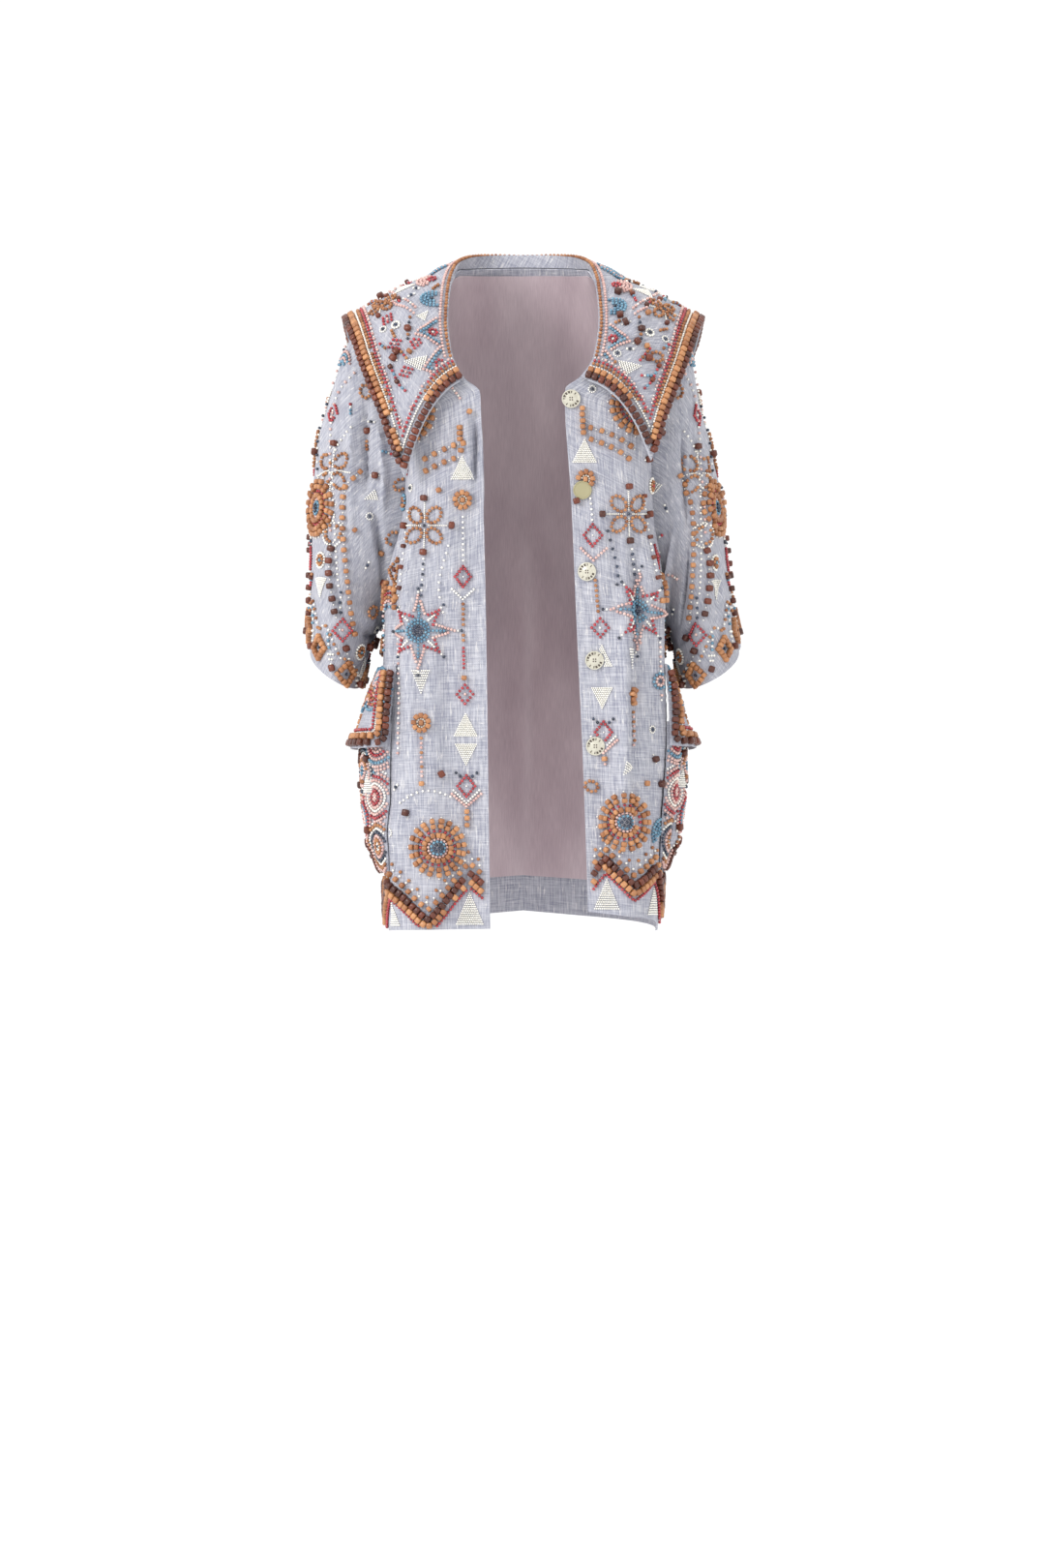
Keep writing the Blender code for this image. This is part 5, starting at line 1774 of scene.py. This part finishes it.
# Points of the flat map, the beads that repeat between them, and the gap from bead to bead, in
# millimetres too.
FRONT_THREADS = {
    "right": [
        ([(26, 603), (26, 570)], "tan", 1),
        ([(27, 498), (27, 437)], "pearl", 3),
        ([(27, 388), (27, 337)], "grain", 1.2),
        ([(27, 333), (27, 305)], "red", 0.4),
        ([(27, 300), (27, 291)], "tan", 0.6),
        ([(26, 142), (26, 118)], "tan", 1.2),
        ([(76, 472), (77, 402)], "navy pearl", 2.6),
        ([(78, 228), (78, 178)], "grain pink pink", 1),
        ([(78, 176), (78, 168)], "tan", 0.6),
        ([(26, 142), (50, 158), (78, 163), (110, 148)], "pearl", 3.6),
        ([(110, 205), (112, 300), (118, 360)], "pink pearl", 2.2),
        ([(104, 420), (104, 540)], "nut pearl pearl", 4.2),
        ([(150, 330), (160, 450)], "teal pink pearl", 2),
        ([(44, 470), (56, 420), (50, 370)], "pearl", 6),
    ],
    "left": [
        ([(26, 412), (27, 352)], "grain", 1.2),
        ([(22, 604), (23, 570)], "tan", 1),
        ([(26, 500), (27, 468)], "pearl", 3),
        ([(26, 190), (26, 172)], "pink tan", 0.6),
        ([(24, 128), (24, 96)], "tan pearl", 2),
        ([(76, 466), (77, 410)], "navy pearl", 2.6),
        ([(66, 240), (66, 196)], "grain pink", 1),
        ([(44, 470), (54, 420), (50, 390)], "navy", 6),
        ([(104, 330), (106, 250)], "pink pearl", 2.2),
        ([(104, 420), (104, 540)], "nut pearl pearl", 4.2),
        ([(150, 330), (160, 450)], "teal pink pearl", 2),
    ],
}
# Figures and double rows that the photograph shows, placed by their pixels.
SEEN_MOTIFS = {
    "right": [(426, 429, half_sun(), 2.23)],
    "left": [(656, 421, half_sun(), 2.23), (681, 862, fan("teal", 4, 0.004, 0.018, 4.4), 0.0)],
}
SEEN_ROWS = {
    "right": [
        [(437, 476), (452, 468), (466, 461), (483, 457)],
        [(439, 488), (452, 481), (466, 475), (482, 470)],
    ],
    "left": [
        [(607, 441), (624, 446), (640, 453), (656, 465)],
        [(608, 453), (625, 459), (639, 466), (652, 476)],
    ],
}
print("Figures of the fronts:", {side: len(listed) for side, listed in FRONT_MOTIFS.items()})

# %% Bead the fronts
sewings = {}
for side, panel in front_panels.items():
    sewing = Sewing(panel)
    sewing.motif_at(*FRONT_SUNBURSTS[side], sunburst())
    hem_border(sewing, HEM_TABLES[side], 0.03, 0.95)
    for a, b, dots in FRONT_MOTIFS[side]:
        sewing.motif(*metres(a, b), dots)
    for x, y, dots, turn in SEEN_MOTIFS[side]:
        spot = panel.seen_at(x, y)
        sewing.motif_at(*spot, dots, turn + sewing.upright(*spot))
    for row in SEEN_ROWS[side]:
        sewing.thread([panel.seen_at(*pixel) for pixel in row], "tan white", 0.002)
    for route, pattern, gap in FRONT_THREADS[side]:
        sewing.line([metres(*point) for point in route], pattern, gap / 1000)
    sewings[panel.name] = sewing
print("Beads planned on the left front:", len(sewings["front_left"].kinds))

# %% [markdown]
# ### Beads of the back
# The back is out of the photograph's sight, so it is beaded plainly in the manner of the fronts:
# the same zigzag above the hem, and five columns of the same motifs.

# %% Bead the back
HEM_BACK = [(-0.97, 0.05), (-0.8, 0.018), (-0.6, 0.06), (-0.4, 0.018), (-0.2, 0.06)]
HEM_BACK += [(0.00, 0.018), *((-u, rise) for u, rise in HEM_BACK[::-1])]
BACK_COLUMNS = (-0.168, -0.084, 0.0, 0.084, 0.168)
BETWEEN = (0.042, 0.126)
sewing = Sewing(back_panel)
hem_border(sewing, Table("u rise", HEM_BACK), -0.95, 0.95)
for column, a in enumerate(BACK_COLUMNS):
    odd = column % 2
    sewing.motif(a, 0.118 if odd else 0.128, sunburst() if odd else diamond(0.022, 0.027))
    if not odd:
        sewing.motif(a, 0.12, arrow(0.034, 0.017, "pearl"))
        sewing.motif(a, 0.165, triangle(0.028, 0.026))
    sewing.motif(a, 0.205 if odd else 0.215, rosette("navy", "grain", "pearl"))
    sewing.line([(a, 0.225), (a, 0.29)], "grain pearl", 0.0016)
    sewing.motif(a, 0.312, triangle(0.026, 0.025, "white", True) if odd else diamond(0.02, 0.024))
    sewing.motif(a, 0.375, four_petals() if odd else star())
    sewing.line([(a, 0.412), (a, 0.47)], "navy pearl" if odd else "pink pearl", 0.0024)
    sewing.motif(a, 0.492, rosette("pink", "grain", "teal"))
for sign in (-1, 1):
    for a in (sign * place for place in BETWEEN):
        sewing.line([(a, 0.1), (a, 0.46)], "pearl", 0.0075)
        sewing.motif(a, 0.275, diamond(0.016, 0.02, "grain", "nut"))
        sewing.motif(a, 0.43, triangle(0.02, 0.02))
sewings["back"] = sewing
print("Beads planned on the back:", len(sewing.kinds))

# %% [markdown]
# ### Beads of the sleeves
# A sunburst sits on the outside of each sleeve. Long dotted threads fall from the shoulder and
# cross below it, and a band of diamonds, blocks and short threads goes round above the cuff.

# %% Bead the sleeves
SLEEVE_SUNBURST = (0.085, 0.53)
CUFF_UNITS = 8
UPPER_UNITS = 6
# Where a thread starts on the flat map, its beads and the gap between them.
SLEEVE_THREADS = [
    (0.07, 0.37, "pink pearl", 0.004),
    (0.105, 0.33, "pearl", 0.0036),
    (-0.07, 0.37, "pink pearl", 0.004),
    (-0.11, 0.33, "pearl", 0.0036),
    (0.01, 0.39, "pearl navy", 0.005),
    (0.15, 0.32, "tan white", 0.002),
    (-0.15, 0.32, "tan white", 0.002),
    (0.125, 0.215, "brown white", 0.0025),
    (-0.125, 0.215, "brown white", 0.0025),
]
THREAD_BEND = 0.022
SLEEVE_MOTIFS = [
    (0.085, 0.255, four_petals()),
    (0.052, 0.3, diamond(0.018, 0.024, "red", "pink")),
    (0.11, 0.2, ring(0.01, "grain") + ring(0.0145, "pearl", 0, 1.2)),
    (0.03, 0.345, fan("teal pink", 4, 0.008, 0.02, 2.4)),
    (-0.06, 0.3, rosette("red", "grain", "pearl")),
    (-0.1, 0.24, four_petals()),
    (-0.05, 0.215, diamond(0.018, 0.024, "red", "pink")),
    (0.06, 0.165, [(0, 0, "brown", 0.3, 0), (0.006, 0.001, "grain", 0, 0)]),
    (0.02, 0.165, star(0.62)),
]
for side, panel in sleeve_panels.items():
    sewing = Sewing(panel)
    sewing.motif_at(*SLEEVE_SUNBURST, sunburst())
    girth = float(panel.across[0, -1])
    for k in range(CUFF_UNITS):
        a = girth * (k + 0.5) / CUFF_UNITS
        half = girth / CUFF_UNITS / 2
        sewing.motif(a, 0.03, diamond(0.022, 0.026, "tan", "navy"))
        sewing.motif(a + half, 0.02, [(0, 0, "brown", 0.3, 0)])
        sewing.motif(a + half, 0.032, triangle(0.01, 0.012, "pearl", True))
        sewing.line([(a + half, 0.045), (a + half, 0.068)], "teal pearl", 0.0006)
        sewing.line([(a, 0.052), (a + half, 0.074), (a + 2 * half, 0.052)], "grain pearl", 0.0022)
    for k in range(UPPER_UNITS):
        a = girth * (k + 0.2) / UPPER_UNITS
        if k % 2:
            sewing.motif(a, 0.108, triangle(0.024, 0.022, "white", k % 4 == 1))
            sewing.motif(a, 0.14, rosette("teal", "grain", "pearl"))
        else:
            sewing.motif(a, 0.112, diamond(0.022, 0.026, "red", "pink"))
            sewing.line([(a, 0.13), (a + 0.004, 0.165)], "navy pearl", 0.0022)
    for start, b, pattern, gap in SLEEVE_THREADS:
        bend = math.copysign(THREAD_BEND, start)
        route = [(start, b), (start - bend, b - 0.06), (start + bend * 0.5, b - 0.12)]
        route.append((start + bend * 1.6, b - 0.175))
        sewing.line(route, pattern, gap)
        sewing.motif(*route[-1], [(0, 0, "brown", 0.4, 0)])
    for a, b, dots in SLEEVE_MOTIFS:
        sewing.motif(a, b, dots)
    sewings[panel.name] = sewing
print("Beads planned on a sleeve:", len(sewing.kinds))

# %% [markdown]
# ### Beads of the collar
# Rows of beads follow the collar's edge at fixed distances from it, up one wing, round the back
# and down the other: dark blocks, tan blocks, cream beads, then small tan, red, white and pink.
# Finer rows follow the neck. Motifs fill the space between.

# %% Sew the collar's rows
COLLAR_ROWS = [
    (0.004, "brown", 0.0006),
    (0.0118, "amber", 0.0005),
    (0.0171, "pearl", 0.0),
    (0.0211, "grain", 0.0006),
    (0.0257, "red", 0.0012),
    (0.0297, "white pink", 0.0012),
]
NECK_ROWS = [(0.0036, "grain", 0.0008), (0.01, "pink", 0.0008)]
NECK_PLACE = 0.03
NECK_REACH = 0.97


def collar_route(inset):
    """Up one wing, round the outer edge and down the other wing, at one distance from the edge."""
    panel = collar_panel
    along = np.linalg.norm(panel.along, axis=-1)
    rising = np.linalg.norm(panel.rising, axis=-1)
    rs = np.linspace(0.01, 1, 32)
    wing_us = [1 - inset / np.interp(rs, panel.vs, along[:, column]) for column in (0, -1)]
    corner = 1 - inset / rising[-1, 0]
    up_wing = [(-u, r) for u, r in zip(wing_us[0], rs) if r < corner]
    down_wing = [(u, r) for u, r in zip(wing_us[1], rs) if r < corner]
    outer_us = np.linspace(-wing_us[0][-1], wing_us[1][-1], 221)
    outer_vs = 1 - inset / np.interp(outer_us, panel.us, rising[-1])
    return up_wing, list(zip(outer_us, outer_vs)), down_wing[::-1]


def neck_route(inset):
    row = int(np.argmin(np.abs(collar_panel.vs - NECK_PLACE)))
    rising = np.linalg.norm(collar_panel.rising[row], axis=-1)
    us = np.linspace(-NECK_REACH, NECK_REACH, 161)
    return list(zip(us, inset / np.interp(us, collar_panel.us, rising)))


sewing = Sewing(collar_panel)
for inset, pattern, gap in COLLAR_ROWS:
    for route in collar_route(inset):
        if len(route) > 3:
            sewing.thread(route, pattern, gap)
for inset, pattern, gap in NECK_ROWS:
    sewing.thread(neck_route(inset), pattern, gap)
print("Beads planned on the collar's rows:", len(sewing.kinds))

# %% Bead the collar
# The motifs stand a little further left than in a mirror image, and the left half's threads lie
# a little further out.
LEFTWARD = 0.012
OUTWARD = 0.01


def gable():
    """Two teal slopes and two pink ones, that stand on the neck rows, over a red ring."""
    dots = arrow(0.032, -0.019, "teal") + arrow(0.042, -0.025, "pink")
    return dots + moved(ring(0.0046, "red") + [(0, 0, "pearl", 0, 0)], 0, 0.005)


# A place along the collar, a share of its width, the figure there, and its turn.
COLLAR_MOTIFS = [
    (0.915, 0.13, gable(), 0.0),
    (0.8, 0.13, gable(), 0.0),
    (0.69, 0.17, [(0, 0, "navy", 0, 0)] + fan("teal", 3, 0.0048, 0.013, 4.4), 0.0),
    (0.61, 0.2, ring(0.0046, "red") + fan("pink", 3, 0.0092, 0.0178, 2.6), 0.0),
    (0.86, 0.46, triangle(0.022, 0.024) + moved(fan("grain", 1, 0.012, 0.012), 0, -0.024), 0.5),
    (0.8, 0.62, [(0, 0, "brown", 0.3, 0)], 0.0),
    (0.73, 0.56, rosette("navy", "pearl", None), 0.0),
    (0.64, 0.66, four_petals("nut", 0.8), 0.3),
    (0.6, 0.44, triangle(0.022, 0.022, "white", True), 0.2),
    (0.51, 0.22, fan("teal teal pink", 4, 0.006, 0.02, 5.0), 0.0),
    (0.5, 0.6, rosette("navy", "grain", "pearl"), 0.0),
    (0.44, 0.36, diamond(0.018, 0.024, "grain", "nut"), 0.0),
    (0.38, 0.64, star(0.62), 0.0),
    (0.32, 0.3, fan("teal teal pink", 4, 0.006, 0.02, 2.6), 0.0),
    (0.25, 0.58, triangle(0.026, 0.024), 0.0),
    (0.18, 0.34, rosette("red", "grain", "pearl"), 0.0),
    (0.13, 0.66, four_petals("nut", 0.8), 0.0),
]
COLLAR_THREADS = [
    ([(0.9, 0.66), (0.86, 0.72), (0.8, 0.74)], "red teal red nut", 0.001),
    ([(0.76, 0.72), (0.72, 0.8)], "grain teal red", 0.0012),
    ([(0.78, 0.48), (0.72, 0.4)], "navy grain brown", 0.0012),
    ([(0.84, 0.52), (0.78, 0.6)], "red grain", 0.0012),
    ([(0.7, 0.34), (0.63, 0.52), (0.58, 0.58)], "pink pink pearl", 0.0012),
    ([(0.72, 0.36), (0.66, 0.54), (0.62, 0.6)], "pink", 0.0012),
    ([(0.66, 0.5), (0.6, 0.56)], "red red teal nut", 0.001),
    ([(0.58, 0.72), (0.52, 0.8)], "grain teal red", 0.0012),
    ([(0.48, 0.18), (0.44, 0.26)], "pearl navy", 0.0012),
]
sewing.motif_at(0.0, 0.52, sunburst())
for sign in (-1, 1):
    for place, r, dots, turn in COLLAR_MOTIFS:
        sewing.motif_at(sign * (place + LEFTWARD * sign), r, dots, sign * turn)
    for route, pattern, gap in COLLAR_THREADS:
        sewing.thread([(sign * place, r + OUTWARD * sign) for place, r in route], pattern, gap)
sewings["collar"] = sewing
print("Beads planned on the collar:", len(sewing.kinds))

# %% [markdown]
# ### Beads of the pockets and flaps
# The pockets are beaded all over: outlines nested about several middles, mostly pink, with a few
# blocks among them. The flaps have a row of dark blocks round their free edges, then tan blocks,
# white seed beads and red beads.

# %% Bead the pockets and flaps
# A middle on the flat map and the kinds of its rings, from the middle out.
PATCHES = [
    (0.018, 0.15, "teal pink pink red pink"),
    (0.052, 0.12, "navy teal pink grain pink white"),
    (0.086, 0.15, "nut grain pink pink"),
    (0.022, 0.088, "pearl pink red pink"),
    (0.06, 0.064, "red pink pearl pink teal"),
    (0.094, 0.092, "grain pink pink pearl"),
    (0.018, 0.03, "navy pearl grain pink"),
    (0.066, 0.02, "nut pink pink red"),
    (0.098, 0.036, "teal teal pink pearl"),
]


POCKET_BLOCKS = [(0.036, 0.134), (0.074, 0.104), (0.04, 0.05)]
FLAP_PATCHES = [(0.03, 0.07, "teal pink pink"), (0.08, 0.07, "teal pink grain")]
FLAP_ROWS = [
    (0.0055, "brown"),
    (0.013, "amber"),
    (0.0178, "white"),
    (0.021, "red"),
]
RINGS = 13
RING_GAP = 0.0003
FLAP_CORNER = 0.012
# How far up the rows of a flap go, at its inner and its outer end.
INNER_TOP = 0.92
OUTER_TOP = 0.78


def patched(sewing, patches, reach):
    """Nested rings about each middle, kept where that middle is the nearest."""
    middles = np.array([(a, b) for a, b, _ in patches])
    for number, (a, b, kinds) in enumerate(patches):
        kinds = kinds.split()
        radius = 0.0
        dots = [(0, 0, kinds[0], 0, 0)]
        for step in range(1, RINGS + 1):
            kind = kinds[step % len(kinds)]
            radius += size_of(kind) + size_of(kinds[(step - 1) % len(kinds)]) + RING_GAP
            if radius > reach:
                break
            for dot in ring(radius, kind, 0.5 * step):
                spot = np.array([a + dot[0], b + dot[1]])
                if np.linalg.norm(middles - spot, axis=1).argmin() == number:
                    dots.append(dot)
        sewing.motif_at(*sewing.panel.place(a, b), dots)


def flap_edge(panel, inset):
    """Round the flap's free edges at one distance from them, with a rounded corner."""
    wide = float(panel.across[0, -1])
    tall = float(panel.up[-1])
    bend = FLAP_CORNER - inset * 0.4
    low = inset + bend
    path = [(inset, tall * INNER_TOP), (inset, low)]
    for middle, start in [(low, 180), (wide - inset - bend, 270)]:
        for k in range(7):
            x, y = polar(bend, math.radians(start + 15 * k))
            path.append((middle + x, low + y))
    path.append((wide - inset, tall * OUTER_TOP))
    return path


for side in SIDES:
    sewing = Sewing(pocket_panels[side])
    for a, b in POCKET_BLOCKS:
        sewing.motif(a, b, [(0, 0, "brown", 0.4, 0.0)])
    sewing.motif(0.04, 0.105, triangle(0.02, 0.02))
    patched(sewing, PATCHES, 0.04)
    sewings[sewing.panel.name] = sewing
    sewing = Sewing(flap_panels[side])
    for inset, pattern in FLAP_ROWS:
        sewing.line(flap_edge(sewing.panel, inset), pattern, smooth=False)
    sewing.motif(0.05, 0.05, half_sun("red grain"))
    patched(sewing, FLAP_PATCHES, 0.03)
    sewings[sewing.panel.name] = sewing
print("Beads planned on a pocket:", len(sewings["pocket_left"].kinds))

# %% [markdown]
# ### Filling the ground
# What is left between the figures is filled with small ones: a block between two seed beads, a
# dark dot in a white ring, a short string. They are tried at places that are scattered evenly over
# each panel, and kept where no bead is near.


# %% Fill the ground with small figures
def string(kinds):
    """Beads in a short straight line about the middle."""
    dots = rays(1, 0.0, kinds)
    length = dots[-1][0] + size_of(dots[-1][2]) * LOOSE
    return moved(dots, -length / 2, 0.0)


FILLERS = [
    string("white brown white"),
    [(0, 0, "navy", 0, 0)] + ring(0.004, "white"),
    string("red red teal nut grain"),
    [(0, 0, "tan", 0, 0)],
    triangle(0.014, 0.014),
    string("pink pearl pink pearl pink pearl pink"),
    oval(0.012, 0.016, "grain"),
    string("pearl navy pearl"),
    string("teal teal pearl red"),
    string("grain grain grain"),
    diamond(0.013, 0.016, "red", "pink"),
    [(0, 0, "brown", 0, 0)],
]


# The steps of an even scatter across and up, and the part of a panel that it covers.
STEP_ACROSS = 0.7548777
STEP_UP = 0.5698403
SCATTER_START = 0.03
SCATTER_SPAN = 0.94
TRIES = 2200
FIGURE_TURN = 2.4


def filled(sewing, gap):
    """Adds small figures that stay a gap clear of every bead."""
    panel = sewing.panel
    rows = np.concatenate(sewing.rows)
    taken = panel.at(rows[:, 0], rows[:, 1])
    used = 0
    for k in range(TRIES):
        dots = FILLERS[used % len(FILLERS)]
        reach = max(math.hypot(x, y) for x, y, *_ in dots)
        share = SCATTER_START + SCATTER_SPAN * ((0.5 + k * STEP_ACROSS) % 1)
        u = panel.us[0] + (panel.us[-1] - panel.us[0]) * share
        v = SCATTER_START + SCATTER_SPAN * ((0.5 + k * STEP_UP) % 1)
        point = panel.at(np.array([u]), np.array([v]))
        if np.linalg.norm(taken - point, axis=1).min() > reach + gap:
            sewing.motif_at(u, v, dots, FIGURE_TURN * k)
            rows = sewing.rows[-1]
            taken = np.concatenate([taken, panel.at(rows[:, 0], rows[:, 1])])
            used += 1
    return used


# How clear of the other beads a small figure stays on each panel.
GROUNDS = {"collar": 0.0018, "back": 0.012}
for side in SIDES:
    GROUNDS["sleeve_" + side] = 0.012
    GROUNDS["front_" + side] = 0.015
for name, gap in GROUNDS.items():
    print(name, "has", filled(sewings[name], gap), "small figures")

# %% [markdown]
# ### Laying the beads
# Each bead is turned to its thread, stood on the cloth, varied a little in size, tilt and tone,
# and joined with the others of its panel and finish. The solid bead strips and sunbursts give way
# to these pieces.

# %% Find each bead's place
REPLACED = {
    "collar": ["collar_edge_beads", "collar_wing_beads_left", "collar_wing_beads_right"],
    "back": ["hem_beads_back"],
}
for side in SIDES:
    REPLACED["front_" + side] = ["hem_beads_" + side, "front_sunburst_" + side]
    REPLACED["sleeve_" + side] = ["sleeve_sunburst_" + side]
    REPLACED["pocket_flap_" + side] = ["flap_beads_" + side]
CROWDING = 0.84
CELL = 0.0085
CLEARANCE = 0.0022
MARGIN = 0.02
sewn_panels = [*body_panels, *pocket_panels.values(), *flap_panels.values()]
panels = {panel.name: panel for panel in sewn_panels}


def neighbours(name):
    """The other panels' points, for finding beads that would touch them."""
    others = [panel.points.reshape(-1, 3) for other, panel in panels.items() if other != name]
    others = np.concatenate(others)
    low = panels[name].points.min(axis=(0, 1)) - MARGIN
    high = panels[name].points.max(axis=(0, 1)) + MARGIN
    others = others[((others > low) & (others < high)).all(axis=1)]
    tree = kdtree.KDTree(len(others))
    for k, point in enumerate(others):
        tree.insert(point, k)
    tree.balance()
    return tree


def free_places(points, halves, tree):
    """Which beads keep their place: each must clear the ones before it and the other panels."""
    taken = {}
    kept = []
    for k, (point, half) in enumerate(zip(points, halves)):
        if tree.find(point)[2] < half + CLEARANCE:
            continue
        x, y, z = (point // CELL).astype(int)
        near = []
        for dx, dy, dz in product((-1, 0, 1), repeat=3):
            near += taken.get((x + dx, y + dy, z + dz), [])
        reach = CROWDING * (half + halves[near])
        if not (np.linalg.norm(points[near] - point, axis=-1) < reach).any():
            taken.setdefault((x, y, z), []).append(k)
            kept.append(k)
    return np.array(kept, int)


print("Panels that carry beads:", len(panels))

# %% Join the beads of a finish
SIZE_SPREADS = {"block": 0.07, "round": 0.07, "seed": 0.02}
BLOCK_SHAPE = (0.9, 1.0, 1.0)


def joined_beads(name, kinds, points, axes, slot):
    """One mesh of all the beads of a finish: their shapes, turned by axes and moved to points."""
    verts, corners, counts, tones = [], [], [], []
    base = 0
    for kind in sorted(set(kinds)):
        shape, half, _, tone = BEADS[kind]
        local, shape_corners, shape_counts = SHAPES[shape]
        chosen = [k for k, other in enumerate(kinds) if other == kind]
        turns = axes[chosen]
        spread = SIZE_SPREADS[shape]
        size = half * chance.uniform(1 - spread, 1 + spread * 0.7, (len(chosen), 1, 3))
        if shape == "block":
            size = size * BLOCK_SHAPE
        placed = np.einsum("nvi,nij->nvj", local[None] * size, turns) + points[chosen][:, None]
        verts.append(placed.reshape(-1, 3))
        starts = base + len(local) * np.arange(len(chosen))[:, None]
        corners.append((shape_corners[None] + starts).ravel())
        counts.append(np.tile(shape_counts, len(chosen)))
        tone = tone + chance.uniform(-TONE_SPREAD, TONE_SPREAD, len(chosen))
        tones.append(np.repeat(tone, len(local)))
        base += len(local) * len(chosen)
    verts, corners = np.concatenate(verts), np.concatenate(corners)
    counts, tones = np.concatenate(counts), np.concatenate(tones)
    mesh = bpy.data.meshes.new(name)
    mesh.vertices.add(len(verts))
    mesh.vertices.foreach_set("co", verts.astype(np.float32).ravel())
    mesh.loops.add(len(corners))
    mesh.loops.foreach_set("vertex_index", corners.astype(np.int32))
    mesh.polygons.add(len(counts))
    starts = np.concatenate([[0], np.cumsum(counts)[:-1]])
    mesh.polygons.foreach_set("loop_start", starts.astype(np.int32))
    mesh.update(calc_edges=True)
    mesh.shade_smooth()
    shifts = mesh.attributes.new("tone", "FLOAT", "POINT")
    shifts.data.foreach_set("value", tones.astype(np.float32))
    mesh.materials.append(BEAD_FINISHES[slot])
    piece = linked(name, mesh)
    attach(piece, "root")
    return piece


# %% Sew every panel
# A lean is in radians; a border is a share of the panel, across and up.
LEAN = 0.05
BORDER_ACROSS = 0.006
BORDER_UP = 0.004
SUNK = 0.93
BUTTON_GAP = 0.0015
POCKET_START = SIDE_START - 0.012
POCKET_LOW = POCKET_FOOT - 0.008
POCKET_HIGH = FLAP_FOOT + FLAP_HEIGHT + 0.01


def sewable(name, panel, u, v):
    """Which beads lie within the panel, clear of its borders, pockets and buttons."""
    good = (v > panel.vs[0] + BORDER_UP) & (v < panel.vs[-1] - BORDER_UP)
    if not panel.closed:
        good &= (u > panel.us[0] + BORDER_ACROSS) & (u < panel.us[-1] - BORDER_ACROSS)
    if name.startswith("front"):
        good &= ~((u > POCKET_START) & (v > POCKET_LOW) & (v < POCKET_HIGH))
    if name == "front_left":
        spots = panel.at(u, v)
        for _, middle in buttons:
            good &= np.linalg.norm(spots - middle, axis=1) > BUTTON_RADIUS + BUTTON_GAP
    return good


bead_pieces = {}
total = 0
for name, sewing in sewings.items():
    panel = sewing.panel
    rows = np.concatenate(sewing.rows)
    kinds = np.array(sewing.kinds)
    u, v = panel.wrapped(rows[:, 0]), rows[:, 1]
    good = sewable(name, panel, u, v)
    rows, kinds, u, v = rows[good], kinds[good], u[good], v[good]
    halves = np.array([size_of(kind) for kind in kinds])
    point, out, across, up, *_ = panel.frame_at(u, v)
    lean = chance.normal(0, LEAN, (len(u), 3))
    out = unit(out + lean * (kinds != "white")[:, None])
    ahead = rows[:, 2:5] + across * 1e-9
    ahead = unit(ahead - out * (ahead * out).sum(-1, keepdims=True))
    aside = np.cross(out, ahead)
    centre = point + out * (halves * SUNK + rows[:, 5])[:, None]
    kept = free_places(centre, halves, neighbours(name))
    axes = np.stack([ahead, aside, out], axis=1)[kept]
    kinds, centre = kinds[kept], centre[kept]
    slots = np.array([BEADS[kind][2] for kind in kinds])
    made = []
    for slot in sorted(set(slots)):
        own = slots == slot
        made.append(joined_beads(f"{name}_{slot}", list(kinds[own]), centre[own], axes[own], slot))
    for node in REPLACED.get(name, []):
        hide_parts(node)
    bead_pieces[name] = made
    total += len(kinds)
    print(name, "carries", len(kinds), "beads in", len(made), "pieces")
print("Beads in all:", total)

# %% [markdown]
# ## What hangs from what
# Last, a table says what each panel hangs from, and the collar's binding and the left front's
# buttons join the pieces sewn to those panels.


HANGS_FROM = {"collar": ["front_left", "front_right", "back", "sleeve_left", "sleeve_right"]}
HANGS_FROM.update(back=["collar"], back_lining=["back"])
for side in SIDES:
    HANGS_FROM["front_" + side] = ["collar", "back"]
    HANGS_FROM["sleeve_" + side] = ["front_" + side, "back"]
    HANGS_FROM["pocket_" + side] = HANGS_FROM["pocket_flap_" + side] = ["front_" + side]
bead_pieces["collar"].append(binding)
bead_pieces["front_left"] += [button for button, _ in buttons]
for name, panel in {**panels, "back_lining": lining_panel}.items():
    "draped" if name == "collar" else "hung"

# %% Record the sizes and finish the frame
main_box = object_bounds()
print("The coat now measures", [round(high - low, 3) for low, high in zip(*main_box)], "m")
